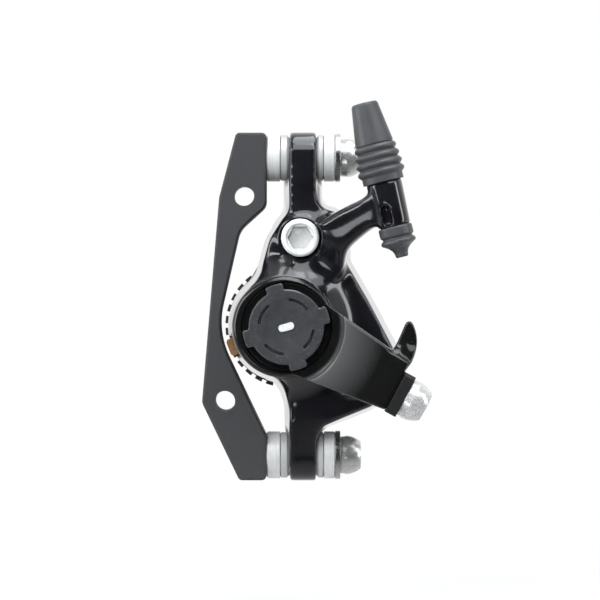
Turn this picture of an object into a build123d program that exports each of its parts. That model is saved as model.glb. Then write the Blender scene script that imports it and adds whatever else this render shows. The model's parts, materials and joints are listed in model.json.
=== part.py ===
from build123d import *
from math import cos, hypot, pi, radians, sin, sqrt, tan
import os

# Cable-operated disc brake caliper on its frame bracket, in millimetres.
# +X points from the bracket towards the bolt heads, +Z up between the mount bolts, and +Y inboard,
# towards the wheel. The origin is midway between the two frame holes, on the bracket's outboard
# face, where the frame's tab is bolted on.

# Frame holes, tapped for the bolts that come through the frame's tab
frame_hole_spacing = 51.0
frame_hole_tilt = 5.3
frame_thread_minor = 5.0
frame_hole_mouth = 6.3

# Bracket plate
bracket_thickness = 12.0
bracket_seat = 7.9
bracket_edge_break = 0.4
thread_depth = 8.2

# Mount bolts, 74 mm apart, with their washers
bolt_spacing = 74.0
bolt_middle = -2.0
bolt_diameter = 6.0
bolt_head_diameter = 9.6
bolt_head_height = 5.1
bolt_head_flat_share = 0.71
bolt_head_neck_share = 0.95
bolt_socket = 5.0
bolt_socket_depth = 2.6
thread_clearance = 0.03
washer_diameter = 11.7
washer_hole = 7.8
washer_edge = 0.35
cup_length = 3.3
ball_length = 2.4
head_ball_length = 2.0
head_cup_length = 2.8
ball_seat_radius = 9.0
ball_seat_rim = 5.3
seat_clearance = 0.03
flange_washer_diameter = 12.0
flange_washer_thickness = 1.2
flange_washer_hole = 6.4

# Ears of the caliper, slotted so that it can shift sideways
ear_thickness = 6.6
ear_radius = 6.4
ear_slot_width = 6.8
caliper_shift = 1.5
ear_slot_clearance = 0.1
ear_root_share = 0.61
ear_foot_share = 0.73
spot_face_margin = 0.9

# Rotor that the caliper straddles, and where the caliper sits around it
rotor_plane = 15.3
rotor_radius = 80.0
rotor_slot_width = 6.0
rotor_rim_clearance = 1.3
pad_track_radius = 72.0
mouth_angle = 201.0

# Piston axis, and the depths of the outboard housing
pivot_from_seat = 5.0
pivot_from_middle = -4.95
plate_front = -3.0
drum_front = -8.5
drum_radius = 12.35
drum_offset = 0.8
flare_height = 5.5
flare_spread = 45.0
wall_draft = 5.4
edge_round = 1.1
body_width = 26.3

# Body bolts that join the two halves, on a circle about the rotor's axis
body_bolt_circle = 85.1
body_bolt_angles = (34.0, 9.5)
body_bolt_boss = 11.5
body_bolt_boss_height = 1.0
body_bolt_head = 9.3
body_bolt_head_height = 4.3
body_bolt_head_room = 0.7
body_bolt_socket = 5.5
body_bolt_dish = 6.9
body_bolt_dish_depth = 0.6
body_bolt_reach = 10.5
bolt_hole_clearance = 0.1

# Housing stop: a tilted tube on a strut, with its two rubber boots
cable_plane = -13.3
stop_tilt = 14.0
stop_from_pivot_x = 23.6
stop_from_pivot_z = 35.15
stop_length = 11.1
stop_top_diameter = 8.9
stop_bottom_diameter = 7.9
stop_spigot_diameter = 7.3
stop_spigot_length = 6.0
stop_nipple_diameter = 5.8
stop_nipple_length = 3.4
brake_housing_diameter = 5.0
housing_clearance = 0.1
housing_seat_depth = 5.0
inner_cable_hole = 2.2
strut_angle = 43.0
strut_front_rise = 7.5
strut_rear_rise = 11.0
pocket_length = 5.2
pocket_width = 2.1
pocket_depth = 2.2

# Upper boot
boot_length = 19.7
boot_top_diameter = 6.4
boot_cone_diameter = 9.4
boot_bottom_diameter = 10.0
boot_rib_diameters = (11.5, 11.7, 11.0, 10.3)
boot_rib_pitch = 2.0
boot_rib_depth = 0.75
boot_first_rib = 1.6
boot_lip = 0.6

# Lower boot
exit_collar_diameter = 8.3
exit_collar_length = 2.3
exit_neck_diameter = 7.2
exit_flange_diameter = 8.5
exit_nozzle_diameter = 3.2
exit_length = 7.6

# Arm
arm_rear = -9.7
arm_head_front = -14.4
arm_head_radius = 12.3
arm_face = -16.9
arm_length = 30.3
arm_angle = -28.0
arm_root_half_width = 9.7
arm_end_half_width = 6.5
arm_root_station = 4.6
arm_face_radius = 13.9
arm_edge_round = 0.8
arm_range = 24.0
arm_boss_height = 0.35
horn_thickness = 5.0
horn_rim = 0.7
horn_dish_depth = 0.6

# Pinch plate and bolt on the arm's end
pinch_plate_thickness = 2.7
pinch_plate_length = 10.7
pinch_plate_width = 9.4
pinch_plate_offset = -1.45
pinch_bolt_diameter = 5.0
pinch_bolt_head = 9.8
pinch_bolt_head_height = 5.6
pinch_bolt_depth = 9.0
pinch_bolt_socket = 4.0

# Outboard knob
knob_front = -17.3
knob_rear = -13.0
knob_lobe_radius = 10.65
knob_floor_radius = 9.1
knob_lobes = 4
knob_lobe_angle = 17.0
knob_lobe_width = 25.0
knob_corner = 0.6
knob_recess_radius = 10.95
knob_recess_floor = -12.6
knob_dish_radius = 7.1
knob_dish_depth = 0.7
knob_slot_radius = 6.6
knob_slot_span = 40.0
knob_slot_width = 0.75
knob_slot_depth = 1.2
knob_hub_radius = 5.0
tang_length = 3.9
tang_width = 1.8
tang_angle = 16.5
tang_clearance = 0.1
tang_recess = 0.4

# Cam stack inside the drum
running_clearance = 0.08
shaft_radius = 5.2
shaft_end = -12.3
screw_radius = 3.5
screw_shoulder = -11.9
spring_wire = 1.3
spring_radius = 7.8
spring_turns = 2.75
spring_pitch = 1.45
spring_room = 0.6
spring_end_gap = 0.3
drum_wall_inner = -4.0
drum_floor = 1.6
cam_bore_radius = 9.5
cam_thickness = 2.6
cam_rim_clearance = 0.3
cam_travel_per_radian = 2.0
cam_ball_radius = 1.5
cam_ball_circle = 7.4
cam_balls = 3
cam_track_depth = 0.6
cam_run_out = 0.3
cam_ball_clearance = 0.15
drive_cam_thickness = 3.1
cage_thickness = 0.6
thrust_thickness = 0.7
foot_gap = 0.3
seal_outer_radius = 11.6
seal_inner_radius = 9.9
seal_height = 0.25
seal_depth = 1.5

# Pads
pad_gap = 4.4
lining_thickness = 2.1
pad_plate_thickness = 1.8
pad_half_width = 10.0
pad_deep_end = 9.8
pad_mouth_end = 10.3
pad_corner = 3.0
pad_tab_reach = 15.6
pad_tab_width = 4.3
pad_tab_corner = 0.8
pad_clearance = 0.3
pad_seat_clearance = 0.2
lining_margin = 1.5
foot_radius = 8.4
tab_notch_width = 5.2
tab_notch_front = -4.0

# Pad spreader spring
spreader_thickness = 0.4
spreader_reach = 4.0
spreader_bridge_half_width = 4.0
spreader_back = 11.2
spreader_room = 0.5

# Inboard half, its screw and its dial
inboard_depth = 12.5
inboard_drum_radius = 13.9
inboard_boss_radius = 6.2
inboard_wing_radius = 4.2
inboard_wing_shares = (0.61, -0.05)
inboard_bore_radius = 8.8
inboard_wall = 2.4
inboard_foot_length = 3.1
inboard_screw_radius = 4.5
dial_radius = 15.9
dial_thickness = 4.2
dial_notches = 32
dial_notch_depth = 0.75
dial_notch_width = 1.15
dial_gap = 0.3
dial_dish_radius = 11.0
dial_dish_depth = 1.6
dial_hub_radius = 5.6
dial_shelf_radius = 13.4

# One length by which every cutting tool runs past what it cuts
overrun = 5.0

# Places worked out from the sizes above
mount_axis = bracket_thickness / 2
half_spacing = bolt_spacing / 2
bolt_levels = (bolt_middle + half_spacing, bolt_middle - half_spacing)
ear_left = bracket_seat + cup_length + ball_length
ear_right = ear_left + ear_thickness
head_seat = ear_right + head_ball_length + head_cup_length + flange_washer_thickness
pivot = (bracket_seat + pivot_from_seat, bolt_middle + pivot_from_middle)
rotor_centre = (
    pivot[0] + pad_track_radius * cos(radians(mouth_angle)),
    pivot[1] + pad_track_radius * sin(radians(mouth_angle)),
)
body_bolt_places = [
    (
        rotor_centre[0] + body_bolt_circle * cos(radians(angle)),
        rotor_centre[1] + body_bolt_circle * sin(radians(angle)),
    )
    for angle in body_bolt_angles
]
slot_outer = rotor_plane - rotor_slot_width / 2
slot_inner = rotor_plane + rotor_slot_width / 2
slot_radius = rotor_radius + rotor_rim_clearance
outboard_lining_face = rotor_plane - pad_gap / 2
outboard_plate_face = outboard_lining_face - lining_thickness
outboard_plate_back = outboard_plate_face - pad_plate_thickness
inboard_lining_face = rotor_plane + pad_gap / 2
inboard_plate_face = inboard_lining_face + lining_thickness
inboard_plate_back = inboard_plate_face + pad_plate_thickness
inboard_face = rotor_plane + inboard_depth
cam_travel = cam_travel_per_radian * radians(arm_range)
fixed_cam_inner = drum_wall_inner + cam_thickness
cam_ball_plane = fixed_cam_inner - cam_track_depth + cam_ball_radius
drive_cam_outer = cam_ball_plane + cam_ball_radius - cam_travel - cam_run_out
drive_cam_inner = drive_cam_outer + drive_cam_thickness
thrust_inner = drive_cam_inner + thrust_thickness
foot_back = thrust_inner + foot_gap
spring_height = spring_turns * spring_pitch + spring_wire
drum_wall_outer = drum_wall_inner - drum_floor
spring_inner_end = drum_wall_outer - spring_end_gap
spring_outer_end = spring_inner_end - spring_height
stop_top = (pivot[0] + stop_from_pivot_x, pivot[1] + stop_from_pivot_z)
drum_centre = (pivot[0] - drum_offset, pivot[1])


def outboard_plane(depth):
    """Sketch plane at a depth along Y, seen from outboard: its x is X, its y is Z, its normal is -Y."""
    return Plane(origin=(0, depth, 0), x_dir=(1, 0, 0), z_dir=(0, -1, 0))


def side_plane(place):
    """Sketch plane at a place along X: its x is Y, its y is Z, its normal is +X."""
    return Plane(origin=(place, 0, 0), x_dir=(0, 1, 0), z_dir=(1, 0, 0))


def slab(face, outer, inner, draft=0.0):
    """Solid between two depths, whose outline at the outboard face grows inboard by the draft."""
    return extrude(outboard_plane(outer) * face, amount=outer - inner, taper=-draft)


def rising_slab(face, inner, outer, draft=0.0):
    """Solid between two depths, whose outline at the inboard face shrinks outboard by the draft."""
    return extrude(outboard_plane(inner) * face, amount=inner - outer, taper=draft)


# Rounded front edge in layers: each one's height as a share of the rounding, and its lean in degrees
edge_layer_shares = ((0.5, 15.0), (0.366, 45.0), (0.134, 75.0))


def rounded_slab(face, outer, inner, draft):
    """Drafted solid between two depths whose outboard edge leans over, layer by layer."""
    depth = outer + edge_round
    solid = slab(face, depth, inner, draft)
    layer_face = face
    inset = 0.0
    for share, lean in edge_layer_shares:
        height = edge_round * share
        solid += rising_slab(layer_face, depth, depth - height, lean)
        depth -= height
        inset += height * tan(radians(lean))
        layer_face = offset(face, -inset)
    return solid


def round_at(place, radius):
    """Circle at a place in the X-Z plane."""
    return Pos(place[0], place[1]) * Circle(radius)


def ring_at(place, outer_radius, inner_radius):
    """Annulus at a place in the X-Z plane."""
    return round_at(place, outer_radius) - round_at(place, inner_radius)


def filled(edges):
    """Face inside a closed run of edges."""
    return make_face(Wire(edges))


def turned(points):
    """Solid of revolution about X from (x, radius) corners."""
    return revolve(make_face(Polyline(*points, close=True)), Axis.X)


def at_bolts(piece):
    """Copies of a piece made about the X axis, at both mount bolts."""
    return [Pos(0, mount_axis, level) * piece for level in bolt_levels]


def save(name, solids):
    """Write one node's solids as one STEP file."""
    export_step(Compound(children=list(solids)), os.path.join("parts", name + ".step"))


def hexagon(across_flats):
    """Hexagon of a socket, from its width across flats."""
    return RegularPolygon(across_flats / 2, 6, major_radius=False)


# Bracket outline: each corner's x as a share of the seat's distance, its height above the bolts'
# middle as a share of half their spacing, and its rounding as a share of the seat's distance
bracket_corner_shares = (
    (0.05, 1.162, 0.15),
    (1.0, 1.162, 0.15),
    (1.0, 0.673, 0.38),
    (0.165, 0.511, 0.76),
    (-0.57, -0.168, 2.5),
    (1.0, -0.868, 0.13),
    (1.0, -1.162, 0.15),
    (0.152, -1.162, 0.15),
    (-1.02, -0.643, 0.38),
    (-0.481, 0.73, 0.38),
)


def rounded_outline(corners, origin, width, height):
    """Face inside rounded corners given as (x share of width, z share of height, rounding share of width)."""
    points = [(origin[0] + width * across, origin[1] + height * up) for across, up, _ in corners]
    return make_face(FilletPolyline(*points, radius=[width * share for _, _, share in corners], close=True))


def frame_hole_places():
    """The two frame holes, on a line through the origin tilted from Z."""
    reach = frame_hole_spacing / 2
    lean = radians(frame_hole_tilt)
    upper = (reach * sin(lean), reach * cos(lean))
    return [upper, (-upper[0], -upper[1])]


def adapter_bracket():
    """Flat plate with two tapped frame holes and two tapped holes in its edge for the mount bolts."""
    outline = rounded_outline(bracket_corner_shares, (0, bolt_middle), bracket_seat, half_spacing)
    plate = rising_slab(outline, bracket_thickness, 0)
    rims = plate.edges().group_by(Axis.Y)
    plate = chamfer(rims[0] + rims[-1], bracket_edge_break)
    for place in frame_hole_places():
        plate -= rising_slab(round_at(place, frame_thread_minor / 2), bracket_thickness + overrun, -overrun)
        widening = (frame_hole_mouth - frame_thread_minor) / 2
        mouth = Cone(frame_thread_minor / 2, frame_hole_mouth / 2, widening)
        plate -= Pos(place[0], bracket_thickness - widening / 2, place[1]) * Rot(-90, 0, 0) * mouth
    bore = turned([(0, 0), (0, bolt_diameter / 2), (thread_depth, bolt_diameter / 2), (thread_depth, 0)])
    for hole in at_bolts(bore):
        plate -= Pos(bracket_seat - thread_depth, 0, 0) * hole
    return plate


def mount_bolt():
    """Bolt about the X axis: shank in the bracket's thread, domed head with a flat end and a socket."""
    shank_radius = bolt_diameter / 2 - thread_clearance
    start = bracket_seat - thread_depth + thread_clearance
    return screw(start, head_seat, shank_radius, bolt_head_diameter, bolt_head_height, bolt_socket)


def screw(start, seat, shank_radius, head_diameter, head_height, socket, socket_depth=bolt_socket_depth):
    """Domed screw about the X axis, its shank from start to seat and its head beyond."""
    rim = head_diameter / 2
    crown = seat + head_height
    flat = rim * bolt_head_flat_share
    neck = rim * bolt_head_neck_share
    belly = (seat + head_height / 3, rim)
    shoulder = (seat + head_height * 4 / 5, rim * (1 + bolt_head_flat_share) / 2)
    edges = [
        Line((start, 0), (start, shank_radius)),
        Line((start, shank_radius), (seat, shank_radius)),
        Line((seat, shank_radius), (seat, neck)),
        Line((seat, neck), belly),
        ThreePointArc(belly, shoulder, (crown, flat)),
        Line((crown, flat), (crown, 0)),
        Line((crown, 0), (start, 0)),
    ]
    body = revolve(filled(edges), Axis.X)
    cut = extrude(Plane(origin=(crown, 0, 0), z_dir=(-1, 0, 0)) * hexagon(socket), amount=socket_depth)
    return body - cut


def seat_height(rim, inward, radius, gap=0.0):
    """Place along X of a washer's spherical seat at a radius, for a seat whose rim is at x = rim."""
    centre = rim + inward * sqrt(ball_seat_radius**2 - ball_seat_rim**2)
    return centre - inward * sqrt((ball_seat_radius - gap) ** 2 - radius**2)


def cup_washer(flat, rim, inward):
    """Washer with a spherical hollow, from its flat face to its rim; inward is the hollow's side."""
    outer = washer_diameter / 2
    hole = washer_hole / 2
    middle = (ball_seat_rim + hole) / 2
    edge = inward * washer_edge
    start = (rim, ball_seat_rim)
    end = (seat_height(rim, inward, hole), hole)
    edges = [
        Line(end, (flat, hole)),
        Line((flat, hole), (flat, outer - washer_edge)),
        Line((flat, outer - washer_edge), (flat + edge, outer)),
        Line((flat + edge, outer), (rim, outer)),
        Line((rim, outer), start),
        ThreePointArc(start, (seat_height(rim, inward, middle), middle), end),
    ]
    return revolve(filled(edges), Axis.X)


def ball_washer(rim, flat, inward):
    """Washer with a spherical face that nests in a cup, and a flat face on the ear."""
    outer = washer_diameter / 2 - washer_edge / 2
    hole = washer_hole / 2
    middle = (outer + hole) / 2
    round_off = washer_edge * 2
    brim = (seat_height(rim, inward, outer, seat_clearance), outer)
    nose = (seat_height(rim, inward, hole, seat_clearance), hole)
    edges = [
        ThreePointArc(nose, (seat_height(rim, inward, middle, seat_clearance), middle), brim),
        Line(brim, (flat - inward * round_off, outer)),
        Line((flat - inward * round_off, outer), (flat, outer - round_off)),
        Line((flat, outer - round_off), (flat, hole)),
        Line((flat, hole), nose),
    ]
    return revolve(filled(edges), Axis.X)


def bracket_cup_washers():
    """Pair of cups that stand on the bracket's seats."""
    return at_bolts(cup_washer(bracket_seat, bracket_seat + cup_length, 1))


def bracket_ball_washers():
    """Pair of ball washers between those cups and the ears."""
    return at_bolts(ball_washer(bracket_seat + cup_length, ear_left, 1))


def head_ball_washers():
    """Pair of ball washers on the ears' outer faces."""
    return at_bolts(ball_washer(ear_right + head_ball_length, ear_right, -1))


def head_cup_washers():
    """Pair of cups that nest over them."""
    rim = ear_right + head_ball_length
    return at_bolts(cup_washer(rim + head_cup_length, rim, -1))


def flange_washers():
    """Pair of thin washers under the bolt heads."""
    inner = flange_washer_hole / 2
    outer = flange_washer_diameter / 2
    start = head_seat - flange_washer_thickness
    return at_bolts(turned([(start, inner), (start, outer), (head_seat, outer), (head_seat, inner)]))


# Housing outline: each corner's distance from the ears' left face as a share of the body's width,
# its height above the bolts' middle as a share of half their spacing, its rounding as a share of the width
body_corner_shares = (
    (0.0, 1.19, 0.06),
    (0.251, 1.19, 0.06),
    (0.251, 0.638, 0.16),
    (0.452, 0.638, 0.08),
    (0.525, 0.432, 0.1),
    (0.525, 0.303, 0.06),
    (0.738, 0.043, 1.0),
    (1.0, -0.311, 0.16),
    (0.852, -0.643, 0.25),
    (0.251, -0.816, 0.16),
    (0.251, -1.19, 0.06),
    (0.0, -1.19, 0.06),
    (0.0, -0.676, 0.25),
    (-0.046, -0.562, 0.15),
    (-0.156, -0.449, 0.4),
    (-0.384, -0.311, 0.14),
    (-0.43, 0.06, 0.14),
    (-0.278, 0.216, 0.25),
    (-0.186, 0.449, 0.25),
    (-0.068, 0.581, 0.25),
    (0.0, 0.635, 0.12),
)


def body_point(shares):
    """A point of the housing's outline from its shares."""
    return (ear_left + body_width * shares[0], bolt_middle + half_spacing * shares[1])


def body_outline():
    """Front outline of the casting's plate, with both ears but without drum and strut."""
    return rounded_outline(body_corner_shares, (ear_left, bolt_middle), body_width, half_spacing)


def ear_profile(level, root_level):
    """Side profile of an ear, in Y and Z: a round end about the bolt that widens to its root."""
    half = ear_radius
    corners = [
        (mount_axis - half, level),
        (mount_axis + half, level),
        (rotor_plane + overrun, root_level),
        (plate_front, root_level),
    ]
    return Pos(mount_axis, level) * Circle(half) + make_face(Polyline(*corners, close=True))


def plate_envelope():
    """What the side view leaves of the casting's plate: its middle, and the two tapering ears."""
    upper_root = bolt_middle + half_spacing * ear_root_share
    lower_root = bolt_middle - half_spacing * ear_foot_share
    profile = ear_profile(bolt_levels[0], upper_root) + ear_profile(bolt_levels[1], lower_root)
    depth = rotor_plane + overrun - plate_front
    middle = Pos(plate_front + depth / 2, (upper_root + lower_root) / 2)
    profile += middle * Rectangle(depth, upper_root - lower_root)
    return extrude(side_plane(ear_left - body_width) * profile, amount=body_width * 3)


def strut_outline():
    """Front outline of the strut, from the drum's shoulder to the housing stop."""
    tube = stop_top_diameter / 2
    down = (sin(radians(stop_tilt)), -cos(radians(stop_tilt)))
    low = (stop_top[0] + down[0] * stop_length * 0.98, stop_top[1] + down[1] * stop_length * 0.98)
    high = (stop_top[0] + down[0] * tube / 2, stop_top[1] + down[1] * tube / 2)
    shoulder = body_point((0.02, 0.30))
    saddle = body_point((0.24, 0.54))
    crotch = body_point((0.452, 0.638))
    knee = body_point((0.52, 0.365))
    armpit = body_point((0.52, 0.20))
    hip = body_point((0.17, 0.13))
    nape = (stop_top[0] - tube * 0.9, stop_top[1] - tube * 0.75)
    elbow = (low[0] - tube, low[1])
    points = [shoulder, saddle, crotch, nape, high, low, elbow, knee, armpit, hip]
    return make_face(Polyline(*points, close=True))


def strut_envelope():
    """Side shape of the strut, in its own length and Y: it leans outboard to the cable's plane."""
    lean = radians(strut_angle)
    plane = Plane(
        origin=(pivot[0], 0, pivot[1]),
        x_dir=(cos(lean), 0, sin(lean)),
        z_dir=(sin(lean), 0, -cos(lean)),
    )
    start = drum_radius
    end = hypot(stop_from_pivot_x, stop_from_pivot_z - stop_length / 2)
    front = -drum_front
    front_end = front + strut_front_rise
    rear_end = front_end - stop_bottom_diameter
    corners = [
        (-start, front),
        (start, front),
        (end, front_end),
        (end + overrun, front_end),
        (end + overrun, rear_end),
        (end, rear_end),
        (start + overrun, rear_end - strut_rear_rise),
        (-start, rear_end - strut_rear_rise),
    ]
    return extrude(plane * make_face(Polyline(*corners, close=True)), amount=body_width, both=True)


def stop_plane():
    """Plane at the top of the housing stop: its x is radial, its y runs up the tube's axis."""
    lean = radians(stop_tilt)
    return Plane(
        origin=(stop_top[0], cable_plane, stop_top[1]),
        x_dir=(cos(lean), 0, sin(lean)),
        z_dir=(0, -1, 0),
    )


def about_stop(face):
    """Solid of revolution about the stop's axis, from a face in (radius, height up the axis)."""
    plane = stop_plane()
    return revolve(plane * face, Axis(plane.origin, plane.y_dir))


def stepped(points):
    """Face from (radius, height) corners."""
    return make_face(Polyline(*points, close=True))


def stop_tube():
    """Housing-stop tube with a spigot for the upper boot and a nipple for the lower one."""
    top = stop_top_diameter / 2
    bottom = stop_bottom_diameter / 2
    spigot = stop_spigot_diameter / 2
    nipple = stop_nipple_diameter / 2
    corners = [
        (0, stop_spigot_length),
        (spigot, stop_spigot_length),
        (spigot, 0),
        (top, 0),
        (bottom, -stop_length),
        (nipple, -stop_length),
        (nipple, -stop_length - stop_nipple_length),
        (0, -stop_length - stop_nipple_length),
    ]
    return about_stop(stepped(corners))


def stop_bore():
    """Seat of the brake housing and hole of the inner cable, as one cutting tool."""
    seat = brake_housing_diameter / 2 + housing_clearance
    cable = inner_cable_hole / 2
    floor = stop_spigot_length - housing_seat_depth
    end = -stop_length - stop_nipple_length - overrun
    top = stop_spigot_length + overrun
    corners = [(0, top), (seat, top), (seat, floor), (cable, floor - (seat - cable)), (cable, end), (0, end)]
    return about_stop(stepped(corners))


def pad_frame():
    """Placement of the pads' sketches: x runs from the piston axis towards the mouth."""
    return Pos(pivot[0], pivot[1]) * Rot(0, 0, mouth_angle)


def pad_outline(margin=0.0):
    """Pad plate: a square with rounded corners and a pull tab, drawn towards the mouth."""
    length = pad_mouth_end + pad_deep_end + margin * 2
    middle = (pad_mouth_end - pad_deep_end) / 2
    plate = Pos(middle, 0) * RectangleRounded(length, (pad_half_width + margin) * 2, pad_corner)
    tab_length = pad_tab_reach - middle
    tab = Pos(middle + tab_length / 2, 0) * RectangleRounded(tab_length, pad_tab_width, pad_tab_corner)
    return pad_frame() * (plate + tab)


def lining_outline(margin=0.0):
    """Friction block: a smaller rounded square on the plate."""
    length = pad_mouth_end + pad_deep_end - lining_margin * 2 + margin * 2
    width = (pad_half_width - lining_margin + margin) * 2
    middle = (pad_mouth_end - pad_deep_end) / 2
    return pad_frame() * Pos(middle, 0) * RectangleRounded(length, width, pad_corner - lining_margin / 2)


def pad_channel():
    """Pocket outline that lets a pad slide in from the mouth."""
    deep = spreader_back + spreader_room
    length = deep + rotor_radius / 2
    return pad_frame() * Pos(length / 2 - deep, 0) * Rectangle(length, (pad_half_width + pad_clearance) * 2)


def ear_cuts():
    """Slots through the ears, and the spot faces that the ball washers bear on."""
    slot_length = ear_slot_width + (caliper_shift + ear_slot_clearance) * 2
    face_height = (washer_diameter / 2 + spot_face_margin) * 2
    face_length = face_height + caliper_shift * 2
    tools = []
    for level in bolt_levels:
        centre = Pos(mount_axis, level)
        slot = centre * SlotOverall(slot_length, ear_slot_width)
        face = centre * SlotOverall(face_length, face_height)
        tools.append(extrude(side_plane(ear_left - overrun) * slot, amount=ear_thickness + overrun * 2))
        tools.append(extrude(side_plane(ear_left - overrun) * face, amount=overrun))
        tools.append(extrude(side_plane(ear_right) * face, amount=overrun))
    return tools


def relief_pocket():
    """Small oval pocket beside the housing stop, low on its front."""
    lean = radians(stop_tilt)
    drop = stop_length * 0.78
    side = stop_top_diameter * 0.16
    place = (
        stop_top[0] + drop * sin(lean) - side,
        stop_top[1] - drop * cos(lean),
    )
    pocket = Pos(place[0], place[1]) * Rot(0, 0, 90 + stop_tilt) * SlotOverall(pocket_length, pocket_width)
    front = cable_plane - stop_bottom_diameter / 2
    return slab(pocket, front - overrun, front + pocket_depth)


def drum():
    """Drafted drum round the piston axis."""
    return slab(round_at(drum_centre, drum_radius), drum_front, slot_outer, wall_draft)


def drum_flare():
    """Cone from the drum's front edge down to the plate, as far as plate and strut reach."""
    inner = drum_front + flare_height
    cone = slab(round_at(drum_centre, drum_radius), drum_front, inner, flare_spread)
    return cone & slab(body_outline() + strut_outline(), drum_front, inner)


def outboard_housing():
    """Gloss casting: drafted plate with slotted ears, drum, bolt bosses, strut and housing stop."""
    plate = rounded_slab(body_outline(), plate_front, rotor_plane, wall_draft) & plate_envelope()
    strut = slab(strut_outline(), drum_front * 3, -plate_front) & strut_envelope()
    housing = plate + drum() + drum_flare() + strut + stop_tube()
    boss_front = plate_front - body_bolt_boss_height
    for place in body_bolt_places:
        housing += slab(round_at(place, body_bolt_boss / 2), boss_front, rotor_plane)
    for tool in ear_cuts():
        housing -= tool
    housing -= slab(round_at(rotor_centre, slot_radius), slot_outer, slot_inner)
    housing -= slab(pad_channel(), outboard_plate_back - pad_seat_clearance, slot_inner)
    notch = pad_frame() * Pos(drum_radius * 1.5, 0) * Rectangle(drum_radius * 1.1, tab_notch_width)
    housing -= slab(notch, tab_notch_front, slot_outer)
    for place in body_bolt_places:
        hole = round_at(place, bolt_diameter / 2 + bolt_hole_clearance)
        housing -= slab(hole, boss_front - overrun, slot_inner)
        head_room = round_at(place, body_bolt_head / 2 + body_bolt_head_room)
        housing -= slab(head_room, boss_front - body_width, boss_front)
    housing -= slab(round_at(pivot, cam_bore_radius), drum_wall_inner, slot_outer)
    housing -= slab(round_at(pivot, shaft_radius + running_clearance), drum_front - overrun, slot_outer)
    spring_reach = spring_radius + spring_wire / 2 + spring_room
    spring_recess = ring_at(pivot, spring_reach, shaft_radius + running_clearance)
    housing -= slab(spring_recess, drum_front - overrun, drum_wall_outer)
    seal_groove = ring_at(pivot, seal_outer_radius, seal_inner_radius)
    housing -= slab(seal_groove, drum_front - overrun, drum_front + seal_depth)
    housing -= stop_bore()
    housing -= relief_pocket()
    return housing


def inboard_outline():
    """Outline of the inboard half: a hull round the piston, the body bolts and the wing."""
    rounds = [round_at(pivot, inboard_drum_radius)]
    rounds += [round_at(place, inboard_boss_radius) for place in body_bolt_places]
    rounds.append(round_at(body_point(inboard_wing_shares), inboard_wing_radius))
    return make_hull([edge for circle in rounds for edge in circle.edges()])


def inboard_housing():
    """Inner half of the casting, with the fixed pad's bore and the body bolts' threads."""
    housing = rising_slab(inboard_outline(), inboard_face, rotor_plane)
    housing -= slab(round_at(rotor_centre, slot_radius), slot_outer, slot_inner)
    housing -= slab(pad_channel(), slot_outer, inboard_plate_back + pad_seat_clearance)
    housing -= slab(round_at(pivot, inboard_bore_radius), slot_inner, inboard_face - inboard_wall)
    screw_hole = round_at(pivot, inboard_screw_radius + running_clearance)
    housing -= slab(screw_hole, slot_inner, inboard_face + overrun)
    for place in body_bolt_places:
        hole = round_at(place, bolt_diameter / 2)
        housing -= slab(hole, slot_outer, rotor_plane + body_bolt_reach)
    return housing


def body_bolts():
    """The two bolts that clamp the halves, each with a dished socket head."""
    head = body_bolt_head / 2
    seat = plate_front - body_bolt_boss_height
    top = seat - body_bolt_head_height
    shank = bolt_diameter / 2 - thread_clearance
    bolts = []
    for place in body_bolt_places:
        cap = slab(round_at(place, head), top, seat)
        cap = chamfer(cap.edges().group_by(Axis.Y)[0], head / 10)
        bolt = cap + slab(round_at(place, shank), seat, rotor_plane + body_bolt_reach - thread_clearance)
        dish = round_at(place, body_bolt_dish / 2)
        bolt -= slab(dish, top - overrun, top + body_bolt_dish_depth)
        socket = Pos(place[0], place[1]) * hexagon(body_bolt_socket)
        bolt -= slab(socket, top, seat - body_bolt_dish_depth)
        bolts.append(bolt)
    return bolts


def rib_edges(bottom, radii, pitch, depth):
    """Run of round ribs up a boot's side: each bulges to its radius and dips back by the depth."""
    edges = []
    height = bottom
    for radius, next_radius in zip(radii, radii[1:] + radii[-1:]):
        start = (radius - depth, height)
        end = (next_radius - depth, height + pitch)
        edges.append(ThreePointArc(start, (radius, height + pitch / 2), end))
        height += pitch
    return edges


def housing_boot():
    """Upper boot: four ribs over the stop's spigot, then a cone round the brake housing."""
    radii = [diameter / 2 for diameter in boot_rib_diameters]
    spigot = stop_spigot_diameter / 2 + seat_clearance
    bore = brake_housing_diameter / 2 + housing_clearance
    ribs_top = boot_first_rib + boot_rib_pitch * len(radii)
    top = boot_top_diameter / 2
    ribs = rib_edges(boot_first_rib, radii, boot_rib_pitch, boot_rib_depth)
    start = (boot_bottom_diameter / 2, seat_clearance)
    shoulder = (radii[-1] - boot_rib_depth, ribs_top)
    cone = (boot_cone_diameter / 2, ribs_top + boot_lip)
    spigot_top = stop_spigot_length + seat_clearance
    outline = [
        Line((spigot, seat_clearance), start),
        Line(start, (radii[0] - boot_rib_depth, boot_first_rib)),
        *ribs,
        Line(shoulder, cone),
        Line(cone, (top, boot_length - boot_lip)),
        ThreePointArc(
            (top, boot_length - boot_lip),
            (top - boot_lip / 4, boot_length - boot_lip / 4),
            (top - boot_lip * 0.9, boot_length),
        ),
        Line((top - boot_lip * 0.9, boot_length), (bore, boot_length)),
        Line((bore, boot_length), (bore, spigot_top)),
        Line((bore, spigot_top), (spigot, spigot_top)),
        Line((spigot, spigot_top), (spigot, seat_clearance)),
    ]
    return about_stop(filled(outline))


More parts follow.
